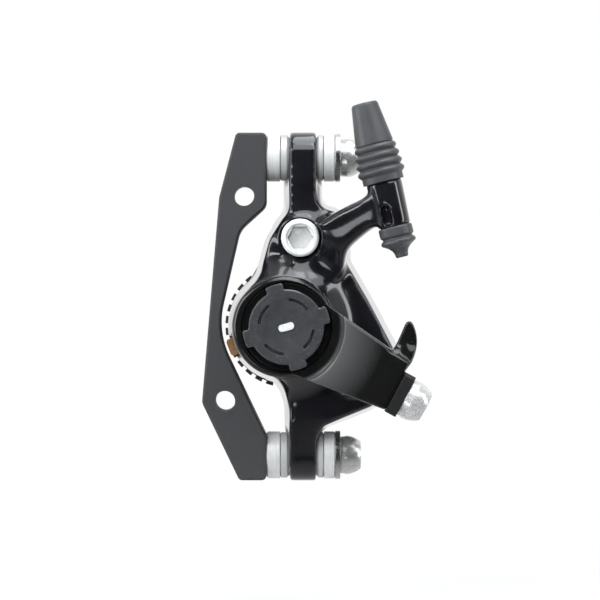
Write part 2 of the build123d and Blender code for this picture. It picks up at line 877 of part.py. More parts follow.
def cable_boot():
    """Lower boot: collar on the stop's nipple, flange, and a taper to the cable's nozzle."""
    base = -stop_length - seat_clearance
    nipple = stop_nipple_diameter / 2 + seat_clearance
    nipple_end = base - stop_nipple_length
    hole = inner_cable_hole / 2
    collar = exit_collar_diameter / 2
    neck = exit_neck_diameter / 2
    flange = exit_flange_diameter / 2
    nozzle = exit_nozzle_diameter / 2
    collar_end = base - exit_collar_length
    groove = collar_end - exit_collar_length / 4
    flange_mid = base - exit_length * 0.48
    flange_end = base - exit_length * 0.58
    nozzle_start = base - exit_length * 0.84
    end = base - exit_length
    nipple_stop = min(nipple_end, flange_mid)
    outline = [
        Line((nipple, base), (collar, base)),
        Line((collar, base), (collar, collar_end)),
        Line((collar, collar_end), (neck, groove)),
        Line((neck, groove), (flange, flange_mid)),
        Line((flange, flange_mid), (neck, flange_end)),
        ThreePointArc(
            (neck, flange_end),
            (nozzle * 1.15, (flange_end * 0.4 + nozzle_start * 0.6)),
            (nozzle, nozzle_start),
        ),
        Line((nozzle, nozzle_start), (nozzle * 0.9, end)),
        Line((nozzle * 0.9, end), (hole, end)),
        Line((hole, end), (hole, nipple_stop)),
        Line((hole, nipple_stop), (nipple, nipple_stop)),
        Line((nipple, nipple_stop), (nipple, base)),
    ]
    return about_stop(filled(outline))


def track_tool(start_angle, end_angle, start_depth, end_depth, radius):
    """Ball-track cutter: a tube along an arc about the piston axis, with a ball at each end."""

    def place(angle, depth):
        spot = radians(angle)
        return (
            pivot[0] + cam_ball_circle * cos(spot),
            depth,
            pivot[1] + cam_ball_circle * sin(spot),
        )

    start = place(start_angle, start_depth)
    middle = place((start_angle + end_angle) / 2, (start_depth + end_depth) / 2)
    end = place(end_angle, end_depth)
    path = ThreePointArc(start, middle, end)
    section = Plane(origin=start, z_dir=path % 0) * Circle(radius)
    tube = sweep(section, path=path)
    return tube + Pos(*start) * Sphere(radius) + Pos(*end) * Sphere(radius)


def ball_angles():
    """Angles of the balls at rest, evenly round the piston axis."""
    return [90 + 360 / cam_balls * index for index in range(cam_balls)]


def fixed_cam():
    """Disc pressed into the drum, with a level round track for the balls."""
    disc = ring_at(pivot, cam_bore_radius, shaft_radius + running_clearance)
    cam = slab(disc, drum_wall_inner, fixed_cam_inner)
    track = Torus(cam_ball_circle, cam_ball_radius + cam_ball_clearance)
    return cam - Pos(pivot[0], cam_ball_plane, pivot[1]) * Rot(90, 0, 0) * track


def drive_cam():
    """Hollow shaft and flange that turn with the arm; its ramps climb the balls."""
    rim = cam_bore_radius - cam_rim_clearance
    cam = slab(round_at(pivot, rim), drive_cam_outer, drive_cam_inner)
    cam += slab(round_at(pivot, shaft_radius), shaft_end, drive_cam_inner)
    bore = round_at(pivot, screw_radius + running_clearance)
    cam -= slab(bore, shaft_end - overrun, drive_cam_inner + overrun)
    groove = cam_ball_radius + cam_ball_clearance
    for angle in ball_angles():
        cam -= track_tool(angle, angle - arm_range / 2, cam_ball_plane, cam_ball_plane - cam_travel, groove)
    return cam


def cam_ball_set():
    """The three balls at rest, in the deep ends of the ramps."""
    balls = []
    for angle in ball_angles():
        spot = radians(angle)
        x = pivot[0] + cam_ball_circle * cos(spot)
        z = pivot[1] + cam_ball_circle * sin(spot)
        balls.append(Pos(x, cam_ball_plane, z) * Sphere(cam_ball_radius))
    return balls


def ball_cage():
    """Thin ring that keeps the balls apart."""
    middle = (fixed_cam_inner + drive_cam_outer) / 2
    inner = shaft_radius + cam_rim_clearance
    ring = ring_at(pivot, cam_bore_radius - cam_rim_clearance * 2, inner)
    for angle in ball_angles():
        spot = radians(angle)
        place = (pivot[0] + cam_ball_circle * cos(spot), pivot[1] + cam_ball_circle * sin(spot))
        ring -= round_at(place, cam_ball_radius + cam_ball_clearance)
    return slab(ring, middle - cage_thickness / 2, middle + cage_thickness / 2)


def thrust_washer():
    """Plain washer between the turning cam and the foot."""
    ring = ring_at(pivot, foot_radius, screw_radius + running_clearance)
    return slab(ring, drive_cam_inner, thrust_inner)


def return_spring():
    """Torsion coil round the shaft: one wire wound as a helix of quarter-turn biarcs."""
    quarter_turns = round(spring_turns * 4)
    step = spring_pitch / 4
    slope = spring_pitch / (2 * pi * spring_radius)

    def station(index):
        turn = index * pi / 2
        point = Vector(
            pivot[0] + spring_radius * cos(turn),
            spring_outer_end + spring_wire / 2 + step * index,
            pivot[1] + spring_radius * sin(turn),
        )
        heading = Vector(-sin(turn), slope, cos(turn)).normalized()
        return point, heading

    arcs = []
    for index in range(quarter_turns):
        start, start_heading = station(index)
        end, end_heading = station(index + 1)
        chord = end - start
        total = start_heading + end_heading
        blend = 2 * (1 - start_heading.dot(end_heading))
        along = chord.dot(total)
        reach = (-along + sqrt(along * along + blend * chord.dot(chord))) / blend
        joint = (start + start_heading * reach + end - end_heading * reach) / 2
        first = TangentArc(start, joint, tangent=start_heading)
        arcs.append(first)
        arcs.append(TangentArc(joint, end, tangent=first % 1))
    wire = Wire(arcs)
    begin, begin_heading = station(0)
    section = Plane(origin=begin, z_dir=begin_heading) * Circle(spring_wire / 2)
    return sweep(section, path=wire)


def arm_seal():
    """Rubber ring in the drum's front groove, under the arm's head."""
    ring = ring_at(pivot, seal_outer_radius - seat_clearance, seal_inner_radius + seat_clearance)
    return slab(ring, drum_front - seal_height, drum_front + seal_depth)


def pad_spring():
    """Spreader: two thin leaves round the linings, joined by a bridge across the rotor slot."""
    lead = spreader_back + spreader_reach
    half = pad_half_width - spreader_thickness
    leaf = pad_frame() * Pos(lead / 2 - spreader_back, 0) * Rectangle(lead, half * 2)
    leaf -= lining_outline(spreader_thickness)
    near = slab(leaf, outboard_plate_face, outboard_plate_face + spreader_thickness)
    far = slab(leaf, inboard_plate_face - spreader_thickness, inboard_plate_face)
    strip = Pos(spreader_thickness / 2 - spreader_back, 0)
    strip = pad_frame() * strip * Rectangle(spreader_thickness, spreader_bridge_half_width * 2)
    return near + far + slab(strip, outboard_plate_face, inboard_plate_face)


def pressure_foot(outer, inner):
    """Round foot between a screw's end and a pad plate."""
    return slab(round_at(pivot, foot_radius), outer, inner)


def foot_screw():
    """Threaded plunger in the drive cam, with a flatted tang that the knob turns."""
    plunger = slab(round_at(pivot, screw_radius), screw_shoulder, foot_back)
    tang = Pos(pivot[0], pivot[1]) * Rot(0, 0, tang_angle) * SlotOverall(tang_length, tang_width)
    return plunger + slab(tang, knob_front + tang_recess, screw_shoulder)


def knob_outline():
    """Four lobes on a round floor."""
    outline = Circle(knob_floor_radius)
    half = radians(knob_lobe_width / 2)
    reach = knob_lobe_radius * 2
    along = reach * cos(half)
    across = reach * sin(half)
    wedge = make_face(Polyline((0, 0), (along, -across), (along, across), close=True))
    lobe = wedge & Circle(knob_lobe_radius)
    for index in range(knob_lobes):
        outline += Rot(0, 0, knob_lobe_angle + 360 / knob_lobes * index) * lobe
    outline = fillet(outline.vertices(), knob_corner)
    return Pos(pivot[0], pivot[1]) * outline


def outboard_knob():
    """Adjuster knob: lobed rim, dished face with arc slots, hub, and the tang's slot."""
    knob = slab(knob_outline(), knob_front, knob_rear)
    knob = chamfer(knob.edges().group_by(Axis.Y)[0], knob_corner / 2)
    knob += slab(round_at(pivot, knob_hub_radius), knob_rear, shaft_end)
    bowl = (knob_dish_radius**2 + knob_dish_depth**2) / (2 * knob_dish_depth)
    knob -= Pos(pivot[0], knob_front + knob_dish_depth - bowl, pivot[1]) * Sphere(bowl)
    for index in range(knob_lobes):
        middle = knob_lobe_angle + 360 / knob_lobes * (index + 0.5)
        arc = CenterArc((0, 0), knob_slot_radius, middle - knob_slot_span / 2, knob_slot_span)
        slot = Pos(pivot[0], pivot[1]) * SlotArc(arc, knob_slot_width)
        knob -= slab(slot, knob_front - overrun, knob_front + knob_slot_depth)
    tang_slot = SlotOverall(tang_length + tang_clearance * 2, tang_width + tang_clearance * 2)
    tang_slot = Pos(pivot[0], pivot[1]) * Rot(0, 0, tang_angle) * tang_slot
    return knob - slab(tang_slot, knob_front - overrun, shaft_end + overrun)


def arm_frame():
    """Placement of the arm's sketches: x runs from the piston axis to the arm's end."""
    return Pos(pivot[0], pivot[1]) * Rot(0, 0, arm_angle)


# Horn outline in the arm's frame, as shares of the arm's length and of its end's half width
horn_inner_arc_shares = ((0.842, 1.0), (0.838, 1.6), (0.825, 2.22))
horn_tip_arc_shares = ((0.825, 2.22), (0.843, 2.38), (0.88, 2.34))
horn_outer_arc_shares = ((0.88, 2.34), (0.975, 1.84), (1.015, 0.98))


def horn_outline():
    """Cable guide that stands up from the arm's end."""

    def point(shares):
        return (arm_length * shares[0], arm_end_half_width * shares[1])

    arcs = (horn_inner_arc_shares, horn_tip_arc_shares, horn_outer_arc_shares)
    edges = [ThreePointArc(*[point(shares) for shares in arc]) for arc in arcs]
    foot_outer = point((1.0, 0.5))
    foot_inner = point((0.82, 0.5))
    edges.append(Line(point(horn_outer_arc_shares[2]), foot_outer))
    edges.append(Line(foot_outer, foot_inner))
    edges.append(Line(foot_inner, point(horn_inner_arc_shares[0])))
    return arm_frame() * filled(edges)


def horn_dish():
    """Shallow hollow in the horn's front, inside a rim."""
    front = cable_plane - horn_thickness / 2
    middle = Pos(arm_length, arm_length + arm_root_half_width)
    above = arm_frame() * middle * Rectangle(arm_length, arm_length * 2)
    hollow = offset(horn_outline(), -horn_rim) & above
    return slab(hollow, front - overrun, front + horn_dish_depth)


def lever_outline():
    """Tapering lever from the head to the arm's end."""
    corners = [
        (arm_root_station, -arm_root_half_width),
        (arm_length, -arm_end_half_width),
        (arm_length, arm_end_half_width),
        (arm_root_station, arm_root_half_width),
    ]
    return arm_frame() * make_face(Polyline(*corners, close=True))


def actuation_arm():
    """Round head with the knob's recess, a raised lever face, the end boss and the horn."""
    head = slab(round_at(drum_centre, arm_head_radius), arm_head_front, arm_rear)
    head = chamfer(head.edges().group_by(Axis.Y)[0], arm_edge_round)
    low = slab(lever_outline(), arm_head_front, arm_rear)
    high = slab(lever_outline() - round_at(pivot, arm_face_radius), arm_face, arm_head_front)
    lever = low + high
    lever = fillet(lever.edges().group_by(Axis.Y)[0], arm_edge_round)
    horn = slab(horn_outline(), cable_plane - horn_thickness / 2, cable_plane + horn_thickness / 2)
    arm = head + lever + horn - horn_dish()
    boss_width = arm_end_half_width * 1.4
    boss = arm_frame() * Pos(arm_length, pinch_plate_offset) * Rectangle(arm_boss_height * 2, boss_width)
    boss_half_depth = pinch_plate_width * 0.35
    arm += slab(boss, cable_plane - boss_half_depth, cable_plane + boss_half_depth)
    arm -= slab(round_at(pivot, knob_recess_radius), arm_face - overrun, knob_recess_floor)
    arm -= slab(round_at(pivot, shaft_radius + seat_clearance), arm_face, arm_rear + overrun)
    recess = ring_at(pivot, spring_radius + spring_wire / 2 + spring_room, shaft_radius + spring_room)
    arm -= slab(recess, spring_outer_end - spring_end_gap, arm_rear + overrun)
    depth = -pinch_bolt_depth - seat_clearance
    radius = hole_radius()
    return arm - at_pinch(turned([(overrun, 0), (overrun, radius), (depth, radius), (depth, 0)]))


def hole_radius():
    """Radius of the pinch bolt's threaded hole."""
    return pinch_bolt_diameter / 2


def at_pinch(piece):
    """Place a piece made about the X axis on the pinch bolt's axis, from the arm's end boss."""
    lean = radians(arm_angle)
    reach = arm_length + arm_boss_height
    x = pivot[0] + reach * cos(lean) - pinch_plate_offset * sin(lean)
    z = pivot[1] + reach * sin(lean) + pinch_plate_offset * cos(lean)
    return Pos(x, cable_plane, z) * Rot(0, -arm_angle, 0) * piece


def pinch_plate():
    """Clamp plate that holds the inner cable against the arm's end."""
    plate = Box(
        pinch_plate_thickness,
        pinch_plate_width,
        pinch_plate_length,
        align=(Align.MIN, Align.CENTER, Align.CENTER),
    )
    plate = chamfer(plate.edges().filter_by(Axis.X), arm_edge_round)
    return at_pinch(plate - Rot(0, 90, 0) * Cylinder(hole_radius() + bolt_hole_clearance, overrun * 2))


def pinch_bolt():
    """Domed bolt on the arm's end."""
    shank = hole_radius() - thread_clearance
    seat = pinch_plate_thickness
    return at_pinch(
        screw(-pinch_bolt_depth, seat, shank, pinch_bolt_head, pinch_bolt_head_height, pinch_bolt_socket)
    )


def dial_outline():
    """Round dial with evenly spaced notches in its rim."""
    outline = Circle(dial_radius)
    notch = Pos(dial_radius, 0) * Rectangle(dial_notch_depth * 2, dial_notch_width)
    for index in range(dial_notches):
        outline -= Rot(0, 0, 360 / dial_notches * index) * notch
    return Pos(pivot[0], pivot[1]) * outline


def inboard_knob():
    """Notched dial on the inboard side, dished, with a hub that drives the screw's tang."""
    near = inboard_face + dial_gap
    far = near + dial_thickness
    dial = slab(dial_outline(), near, far)
    dial -= slab(ring_at(pivot, dial_dish_radius, dial_hub_radius), far - dial_dish_depth, far + overrun)
    dial -= slab(ring_at(pivot, dial_radius * 2, dial_shelf_radius), near + dial_thickness / 2, far + overrun)
    slot = SlotOverall(tang_length + tang_clearance * 2, tang_width + tang_clearance * 2)
    slot = Pos(pivot[0], pivot[1]) * Rot(0, 0, tang_angle) * slot
    return dial - slab(slot, near - overrun, far + overrun)


def inboard_screw():
    """Threaded plunger in the inboard half, with the tang that the dial turns."""
    start = inboard_plate_back + inboard_foot_length
    shoulder = inboard_face - seat_clearance
    plunger = slab(round_at(pivot, inboard_screw_radius), start, shoulder)
    tang = Pos(pivot[0], pivot[1]) * Rot(0, 0, tang_angle) * SlotOverall(tang_length, tang_width)
    end = inboard_face + dial_gap + dial_thickness - tang_recess
    return plunger + slab(tang, shoulder, end)


save("adapter_bracket", [adapter_bracket()])
save("mount_bolts", at_bolts(mount_bolt()))
save("bracket_cup_washers", bracket_cup_washers())
save("bracket_ball_washers", bracket_ball_washers())
save("head_ball_washers", head_ball_washers())
save("head_cup_washers", head_cup_washers())
save("flange_washers", flange_washers())
save("outboard_housing", [outboard_housing()])
save("inboard_housing", [inboard_housing()])
save("body_bolts", body_bolts())
save("housing_boot", [housing_boot()])
save("cable_boot", [cable_boot()])
save("fixed_cam", [fixed_cam()])
save("drive_cam", [drive_cam()])
save("cam_balls", cam_ball_set())
save("ball_cage", [ball_cage()])
save("thrust_washer", [thrust_washer()])
save("return_spring", [return_spring()])
save("arm_seal", [arm_seal()])
save("pad_spring", [pad_spring()])
save("outboard_pressure_foot", [pressure_foot(foot_back, outboard_plate_back)])
save("outboard_pad_plate", [slab(pad_outline(), outboard_plate_back, outboard_plate_face)])
save("outboard_pad_lining", [slab(lining_outline(), outboard_plate_face, outboard_lining_face)])
save("foot_screw", [foot_screw()])
save("outboard_knob", [outboard_knob()])
save("actuation_arm", [actuation_arm()])
save("pinch_plate", [pinch_plate()])
save("pinch_bolt", [pinch_bolt()])
inboard_foot_back = inboard_plate_back + inboard_foot_length
save("inboard_pressure_foot", [pressure_foot(inboard_plate_back, inboard_foot_back)])
save("inboard_pad_plate", [slab(pad_outline(), inboard_plate_face, inboard_plate_back)])
save("inboard_pad_lining", [slab(lining_outline(), inboard_lining_face, inboard_plate_face)])
save("inboard_screw", [inboard_screw()])
save("inboard_knob", [inboard_knob()])
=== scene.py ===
"""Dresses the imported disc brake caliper: rubber boots, finishes, and a pale studio for it."""

import json
import math

import bmesh
import bpy
import numpy as np
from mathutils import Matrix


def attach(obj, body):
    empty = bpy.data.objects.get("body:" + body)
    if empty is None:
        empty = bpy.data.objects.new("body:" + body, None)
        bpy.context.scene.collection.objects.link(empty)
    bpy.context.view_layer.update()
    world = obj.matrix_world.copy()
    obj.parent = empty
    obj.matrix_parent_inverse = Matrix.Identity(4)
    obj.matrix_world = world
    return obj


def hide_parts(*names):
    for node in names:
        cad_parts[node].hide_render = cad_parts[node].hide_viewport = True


bl_info = {
    "name": "Disc Brake Caliper",
    "version": (1, 0, 0),
    "blender": (4, 5, 0),
    "location": "View3D > Sidebar > Caliper",
    "description": "Builds the boots and finishes of a cable-operated disc brake caliper",
    "category": "Object",
}

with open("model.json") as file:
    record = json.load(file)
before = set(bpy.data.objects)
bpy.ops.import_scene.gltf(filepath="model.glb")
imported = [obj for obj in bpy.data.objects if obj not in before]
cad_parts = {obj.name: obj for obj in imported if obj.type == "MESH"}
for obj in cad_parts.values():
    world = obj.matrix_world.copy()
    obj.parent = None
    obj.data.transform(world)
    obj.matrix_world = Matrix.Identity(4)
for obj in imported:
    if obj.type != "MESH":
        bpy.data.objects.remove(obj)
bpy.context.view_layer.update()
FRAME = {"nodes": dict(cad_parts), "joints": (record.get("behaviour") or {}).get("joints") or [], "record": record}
MM = 0.001

# Axis of the housing stop, read from the record's own mount
STOP_MOUNT = next(mount for mount in FRAME["record"]["mounts"] if mount["name"] == "housing_stop")
STOP_AXIS = np.array(STOP_MOUNT["axis"]) / np.linalg.norm(STOP_MOUNT["axis"])
STOP_POINT = np.array(STOP_MOUNT["pos_m"])

# Piston axis, read from the arm's joint
SWING = next(joint for joint in FRAME["joints"] if joint["name"] == "arm_swing")
PIVOT = np.array(SWING["pos_m"])


def length(name, description, default):
    """A size in metres for a property group, given in millimetres."""
    return bpy.props.FloatProperty(
        name=name, description=description, default=default * MM, unit="LENGTH"
    )


def share(name, description, default):
    """A factor between 0 and 1 for a property group."""
    return bpy.props.FloatProperty(
        name=name, description=description, default=default, min=0.0, max=1.0
    )


def number(name, description, default):
    """A slope, or a lamp's power in watts, for a property group."""
    return bpy.props.FloatProperty(name=name, description=description, default=default, min=0.0)


def tint(name, description, default):
    """A linear colour for a property group."""
    return bpy.props.FloatVectorProperty(
        name=name, description=description, default=default, subtype="COLOR", size=3, min=0.0, max=1.0
    )


class CALIPER_PG_boots(bpy.types.PropertyGroup):
    """Sizes of the two rubber boots."""

    rib_depth: length("Rib depth", "How far the ribs stand over the grooves between them", 0.72)
    rib_pitch: length("Rib pitch", "Distance from one rib to the next", 1.98)
    rib_start: length("Rib start", "Height of the first rib over the boot's foot", 1.6)
    lip: length("Lip", "Rounding of the boot's open end", 0.55)


class CALIPER_PG_casting(bpy.types.PropertyGroup):
    """Where the casting's shoulder and strut are rounded off, measured from the pivot."""

    strut_angle: bpy.props.FloatProperty(
        name="Strut angle",
        description="Lean of the strut over the X axis",
        default=math.radians(51),
        subtype="ANGLE",
    )
    drum_x: length("Drum X", "Drum's middle along X", -0.8)
    ring_radius: length("Ring radius", "Outer radius of the drum's ring", 12.5)
    ring_front: length("Ring front", "The ring's outer edge along Y", -8.1)
    shoulder_slope: number("Shoulder slope", "How steeply the shoulder falls away from the ring", 0.5)
    horn_crown: length("Horn crown", "How far the horn's front edges fall back", 0.9)
    coil_travel: length("Coil travel", "How much shorter the return spring is, to clear the arm", 0.65)
    bolt_x: length("Bolt X", "Body bolt's place along X", 3.33)
    bolt_z: length("Bolt Z", "Body bolt's place along Z", 21.78)


class CALIPER_PG_finishes(bpy.types.PropertyGroup):
    """Colours of the finishes."""

    casting: tint("Casting", "Gloss enamel on both housing halves", (0.004, 0.004, 0.005))
    arm: tint("Arm", "Satin black on the arm", (0.005, 0.005, 0.005))
    pinch_plate: tint("Pinch plate", "Blackened plate under the pinch bolt", (0.012, 0.012, 0.012))
    bracket: tint("Bracket", "Blasted and anodised plate", (0.048, 0.048, 0.05))
    knob: tint("Knobs", "Moulded adjusters", (0.026, 0.027, 0.029))
    rubber: tint("Boots", "Grey rubber", (0.034, 0.035, 0.037))
    pale_metal: tint("Cup washers", "Blasted pale metal", (0.7, 0.7, 0.69))
    dark_metal: tint("Ball washers", "Tumbled grey metal", (0.5, 0.5, 0.49))
    steel: tint("Steel", "Bright steel of bolts and screws", (0.72, 0.72, 0.71))
    faced_steel: tint("Faced steel", "Matt-turned heads of the body bolts", (0.64, 0.64, 0.63))
    copper: tint("Pad plates", "Copper wash on the pad plates", (0.62, 0.31, 0.13))
    cage: tint("Ball cage", "Yellow chromate on the ball cage", (0.55, 0.42, 0.2))
    seal: tint("Seal", "Black rubber of the arm's seal", (0.012, 0.012, 0.012))
    wear: share("Edge wear", "How much lighter the worn edges are", 0.35)


class CALIPER_PG_studio(bpy.types.PropertyGroup):
    """Camera and light."""

    distance: length("Camera distance", "From the camera to the bracket's middle plane", 700.0)
    view_width: length("View width", "Width that the picture shows at that plane", 149.6)
    centre_x: length("Centre X", "Where the picture's middle lies along X", 16.2)
    centre_z: length("Centre Z", "Where the picture's middle lies along Z", -0.4)
    plane: length("Plane", "Depth of that plane along Y", 6.0)
    floor: length("Floor", "Height of the floor", -78.0)
    side_light: number("Side strips", "Power of the left strip; the right has less", 2.2)
    top_light: number("Top light", "Power of the overhead box", 2.6)
    high_light: number("High light", "Power of the high front box", 1.5)
    right_light: number("Right light", "Power of the high right box", 0.9)
    edge_light: number("Edge light", "Power of the long high left box", 0.9)
    low_light: number("Low light", "Power of the low left box", 0.4)
    front_light: number("Front light", "Power of the matt light near the camera", 2.2)
    key_light: number("Key light", "Power of the matt key light", 5.6)


# Meshes


def mesh_object(name, points, faces):
    """Smooth object at the origin from an array of points and an array of faces."""
    mesh = bpy.data.meshes.new(name)
    mesh.from_pydata(points.tolist(), [], faces.tolist())
    mesh.update()
    mesh.polygons.foreach_set("use_smooth", np.full(len(mesh.polygons), True))
    piece = bpy.data.objects.new(name, mesh)
    bpy.context.scene.collection.objects.link(piece)
    return piece


def grid_faces(rows, columns, closed):
    """Quads of a grid of points stored row by row, closed round both ways or open."""
    row = np.arange(rows if closed else rows - 1)
    column = np.arange(columns if closed else columns - 1)
    down, across = np.meshgrid(row, column, indexing="ij")
    below = (down + 1) % rows
    beside = (across + 1) % columns
    corners = ((down, across), (down, beside), (below, beside), (below, across))
    return np.stack([one * columns + two for one, two in corners], axis=-1).reshape(-1, 4)


def lathe(name, radius, height, segments=128):
    """Surface of revolution on the stop's axis: point = origin + r (cos a e1 + sin a e2) + h axis."""
    first = np.cross((0.0, 1.0, 0.0), STOP_AXIS)
    first /= np.linalg.norm(first)
    second = np.cross(STOP_AXIS, first)
    angle = np.linspace(0, 2 * np.pi, segments, endpoint=False)
    around = np.cos(angle)[:, None] * first + np.sin(angle)[:, None] * second
    points = STOP_POINT + radius[:, None, None] * around[None] + height[:, None, None] * STOP_AXIS
    faces = grid_faces(len(radius), segments, True)
    return mesh_object(name, points.reshape(-1, 3), faces[:, ::-1])


def copied(name, node, body):
    """Copy of a CAD node with its triangles joined, in the node's place."""
    mesh = FRAME["nodes"][node].data.copy()
    form = bmesh.new()
    form.from_mesh(mesh)
    bmesh.ops.remove_doubles(form, verts=form.verts, dist=0.001 * MM)
    form.to_mesh(mesh)
    form.free()
    piece = bpy.data.objects.new(name, mesh)
    bpy.context.scene.collection.objects.link(piece)
    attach(piece, body)
    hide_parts(node)
    return piece


def softened(name, node, body, slot, cell, passes):
    """Copy of a CAD node with rounded edges: cast anew on cells of a size, then smoothed in passes."""
    piece = copied(name, node, body)
    recast = piece.modifiers.new("recast", "REMESH")
    recast.mode = "VOXEL"
    recast.voxel_size = cell * MM
    recast.use_smooth_shade = True
    rounding = piece.modifiers.new("rounding", "SMOOTH")
    rounding.factor = 0.5
    rounding.iterations = passes
    shaped = piece.evaluated_get(bpy.context.evaluated_depsgraph_get())
    piece.data = bpy.data.meshes.new_from_object(shaped)
    piece.modifiers.clear()
    return piece


def coordinates(mesh):
    """The points of a mesh as an array."""
    points = np.zeros(len(mesh.vertices) * 3)
    mesh.vertices.foreach_get("co", points)
    return points.reshape(-1, 3)


def melted(piece, rate, passes):
    """Round a mesh off: p += rate (mean of neighbours - p) for each point, over a number of passes."""
    mesh = piece.data
    points = coordinates(mesh)
    edges = np.zeros(len(mesh.edges) * 2, np.int32)
    mesh.edges.foreach_get("vertices", edges)
    one, two = edges.reshape(-1, 2).T
    here = np.concatenate([one, two])
    there = np.concatenate([two, one])
    order = np.argsort(here, kind="stable")
    here, there = here[order], there[order]
    starts = np.searchsorted(here, np.arange(len(points)))
    degree = np.bincount(here, minlength=len(points))[:, None]
    for _ in range(passes):
        points += rate[:, None] * (np.add.reduceat(points[there], starts) / degree - points)
    mesh.vertices.foreach_set("co", points.ravel())
    mesh.update()


def step(value, start, end):
    """Smooth step from 0 at start to 1 at end: 3 t^2 - 2 t^3."""
    part = np.clip((value - start) / (end - start), 0.0, 1.0)
    return part * part * (3 - 2 * part)


# Where the rounding of the outboard casting sets in and is full, in millimetres
ROUNDING = {
    "past_ring": (0.0, 1.2),
    "from_bolt": (5.4, 6.3),
    "from_stop_tube": (4.2, 6.2),
    "beside_strut": (12.0, 16.0),
    "along_strut": (8.0, 14.0),
    "beside_web": (18.0, 22.0),
    "along_web": (6.0, 10.0),
    "over_web": (22.0, 26.0),
    "round_drum": (21.0, 24.0),
    "left_of_pivot": (-12.0, -8.0),
    "depth": (-4.2, -2.2),
}


def inside(value, limit):
    """0 before a named limit of the rounding and 1 past it."""
    start, end = ROUNDING[limit]
    return step(value, start * MM, end * MM)


def outside(value, limit):
    """1 before a named limit of the rounding and 0 past it."""
    return 1 - inside(value, limit)


def around_drum(points, casting):
    """Places across the piston axis, counted from the pivot, and distances and angles from the drum."""
    flat = points[:, [0, 2]] - PIVOT[[0, 2]]
    from_drum = flat - np.array((casting.drum_x, 0.0))
    angle = np.degrees(np.arctan2(from_drum[:, 1], from_drum[:, 0]))
    return flat, np.linalg.norm(from_drum, axis=1), angle


def shoulder_share(points, casting):
    """1 over the strut and the drum's shoulder, 0 on the drum's ring, the body bolt's seat, the stop's
    tube and the slot: distances from the strut's line, the drum's axis and the bolt's axis."""
    flat, radius, _ = around_drum(points, casting)
    line = np.array((math.cos(casting.strut_angle), math.sin(casting.strut_angle)))
    along = flat @ line
    aside = np.abs(flat @ np.array((-line[1], line[0])))
    from_bolt = np.linalg.norm(flat - np.array((casting.bolt_x, casting.bolt_z)), axis=1)
    to_tube = np.linalg.norm(np.cross(points - STOP_POINT, STOP_AXIS), axis=1)
    strut = outside(aside, "beside_strut") * inside(along, "along_strut")
    web = outside(aside, "beside_web") * inside(along, "along_web") * outside(flat[:, 1], "over_web")
    shoulder = outside(radius, "round_drum") * inside(flat[:, 0], "left_of_pivot")
    return (
        inside(radius - casting.ring_radius, "past_ring")
        * inside(from_bolt, "from_bolt")
        * inside(to_tube, "from_stop_tube")
        * np.maximum.reduce((strut, web, shoulder))
        * outside(points[:, 1], "depth")
    )


# How far the shoulder is cut back round the drum: past the ring and outwards, and between angles
DIP_PAST_RING = (0.0, 0.7 * MM)
DIP_OUTWARDS = (16.2 * MM, 24.0 * MM)
DIP_FIRST_ANGLE = (0.0, 15.0)
DIP_LAST_ANGLE = (128.0, 150.0)


def dip_shoulder(mesh, casting):
    """Cut the shoulder back to a cone round the drum, y = front + slope (r - ring): what stands in
    front of the cone goes onto it, less and less outwards and past the first and last angle."""
    points = coordinates(mesh)
    _, radius, angle = around_drum(points, casting)
    past_ring = radius - casting.ring_radius
    cone = casting.ring_front + casting.shoulder_slope * past_ring
    weight = (
        step(past_ring, *DIP_PAST_RING)
        * (1 - step(radius, *DIP_OUTWARDS))
        * step(angle, *DIP_FIRST_ANGLE)
        * (1 - step(angle, *DIP_LAST_ANGLE))
    )
    points[:, 1] += weight * np.maximum(cone - points[:, 1], 0.0)
    mesh.vertices.foreach_set("co", points.ravel())
    mesh.update()


def close_coil(mesh, travel):
    """Press a coil together by a travel: y += travel (end - y) / height, so its inner end stays."""
    points = coordinates(mesh)
    outer, inner = points[:, 1].min(), points[:, 1].max()
    points[:, 1] += travel * (inner - points[:, 1]) / (inner - outer)
    mesh.vertices.foreach_set("co", points.ravel())
    mesh.update()


# The horn's foot on X and Z, its lean, its middle and its limits, in millimetres
HORN_FOOT = (41.5, -14.2)
HORN_LEAN = 0.128
HORN_HALF_WIDTH = 2.0
HORN_MIDDLE = np.array((42.4, -9.0))
HORN_REACH = (5.0, 6.5)
HORN_BOTTOM = (-13.5, -11.0)
HORN_LEFT = (37.5, 38.5)


def crown_horn(mesh, casting):
    """Crown the horn's front: y += height (d / half width)^2, with d from its leaning middle line."""
    points = coordinates(mesh)
    normals = np.zeros(points.size)
    mesh.vertices.foreach_get("normal", normals)
    x, z = points[:, 0] / MM, points[:, 2] / MM
    middle = HORN_FOOT[0] + HORN_LEAN * (z - HORN_FOOT[1])
    across = np.clip((x - middle) / HORN_HALF_WIDTH, -1.5, 1.5)
    facing = step(-normals[1::3], 0.0, 0.4)
    weight = step(z, *HORN_BOTTOM) * step(x, *HORN_LEFT) * facing
    points[:, 1] += casting.horn_crown * across**2 * weight
    mesh.vertices.foreach_set("co", points.ravel())
    mesh.update()


def horn_share(points):
    """1 on the horn and 0 past its reach."""
    to_horn = np.linalg.norm(points[:, [0, 2]] / MM - HORN_MIDDLE, axis=1)
    return 1 - step(to_horn, *HORN_REACH)


# Materials


# Places of the colour sockets on a Mix node
COLOUR_A, COLOUR_B, MIXED_COLOUR = 6, 7, 2
BEVEL_SAMPLES = 6


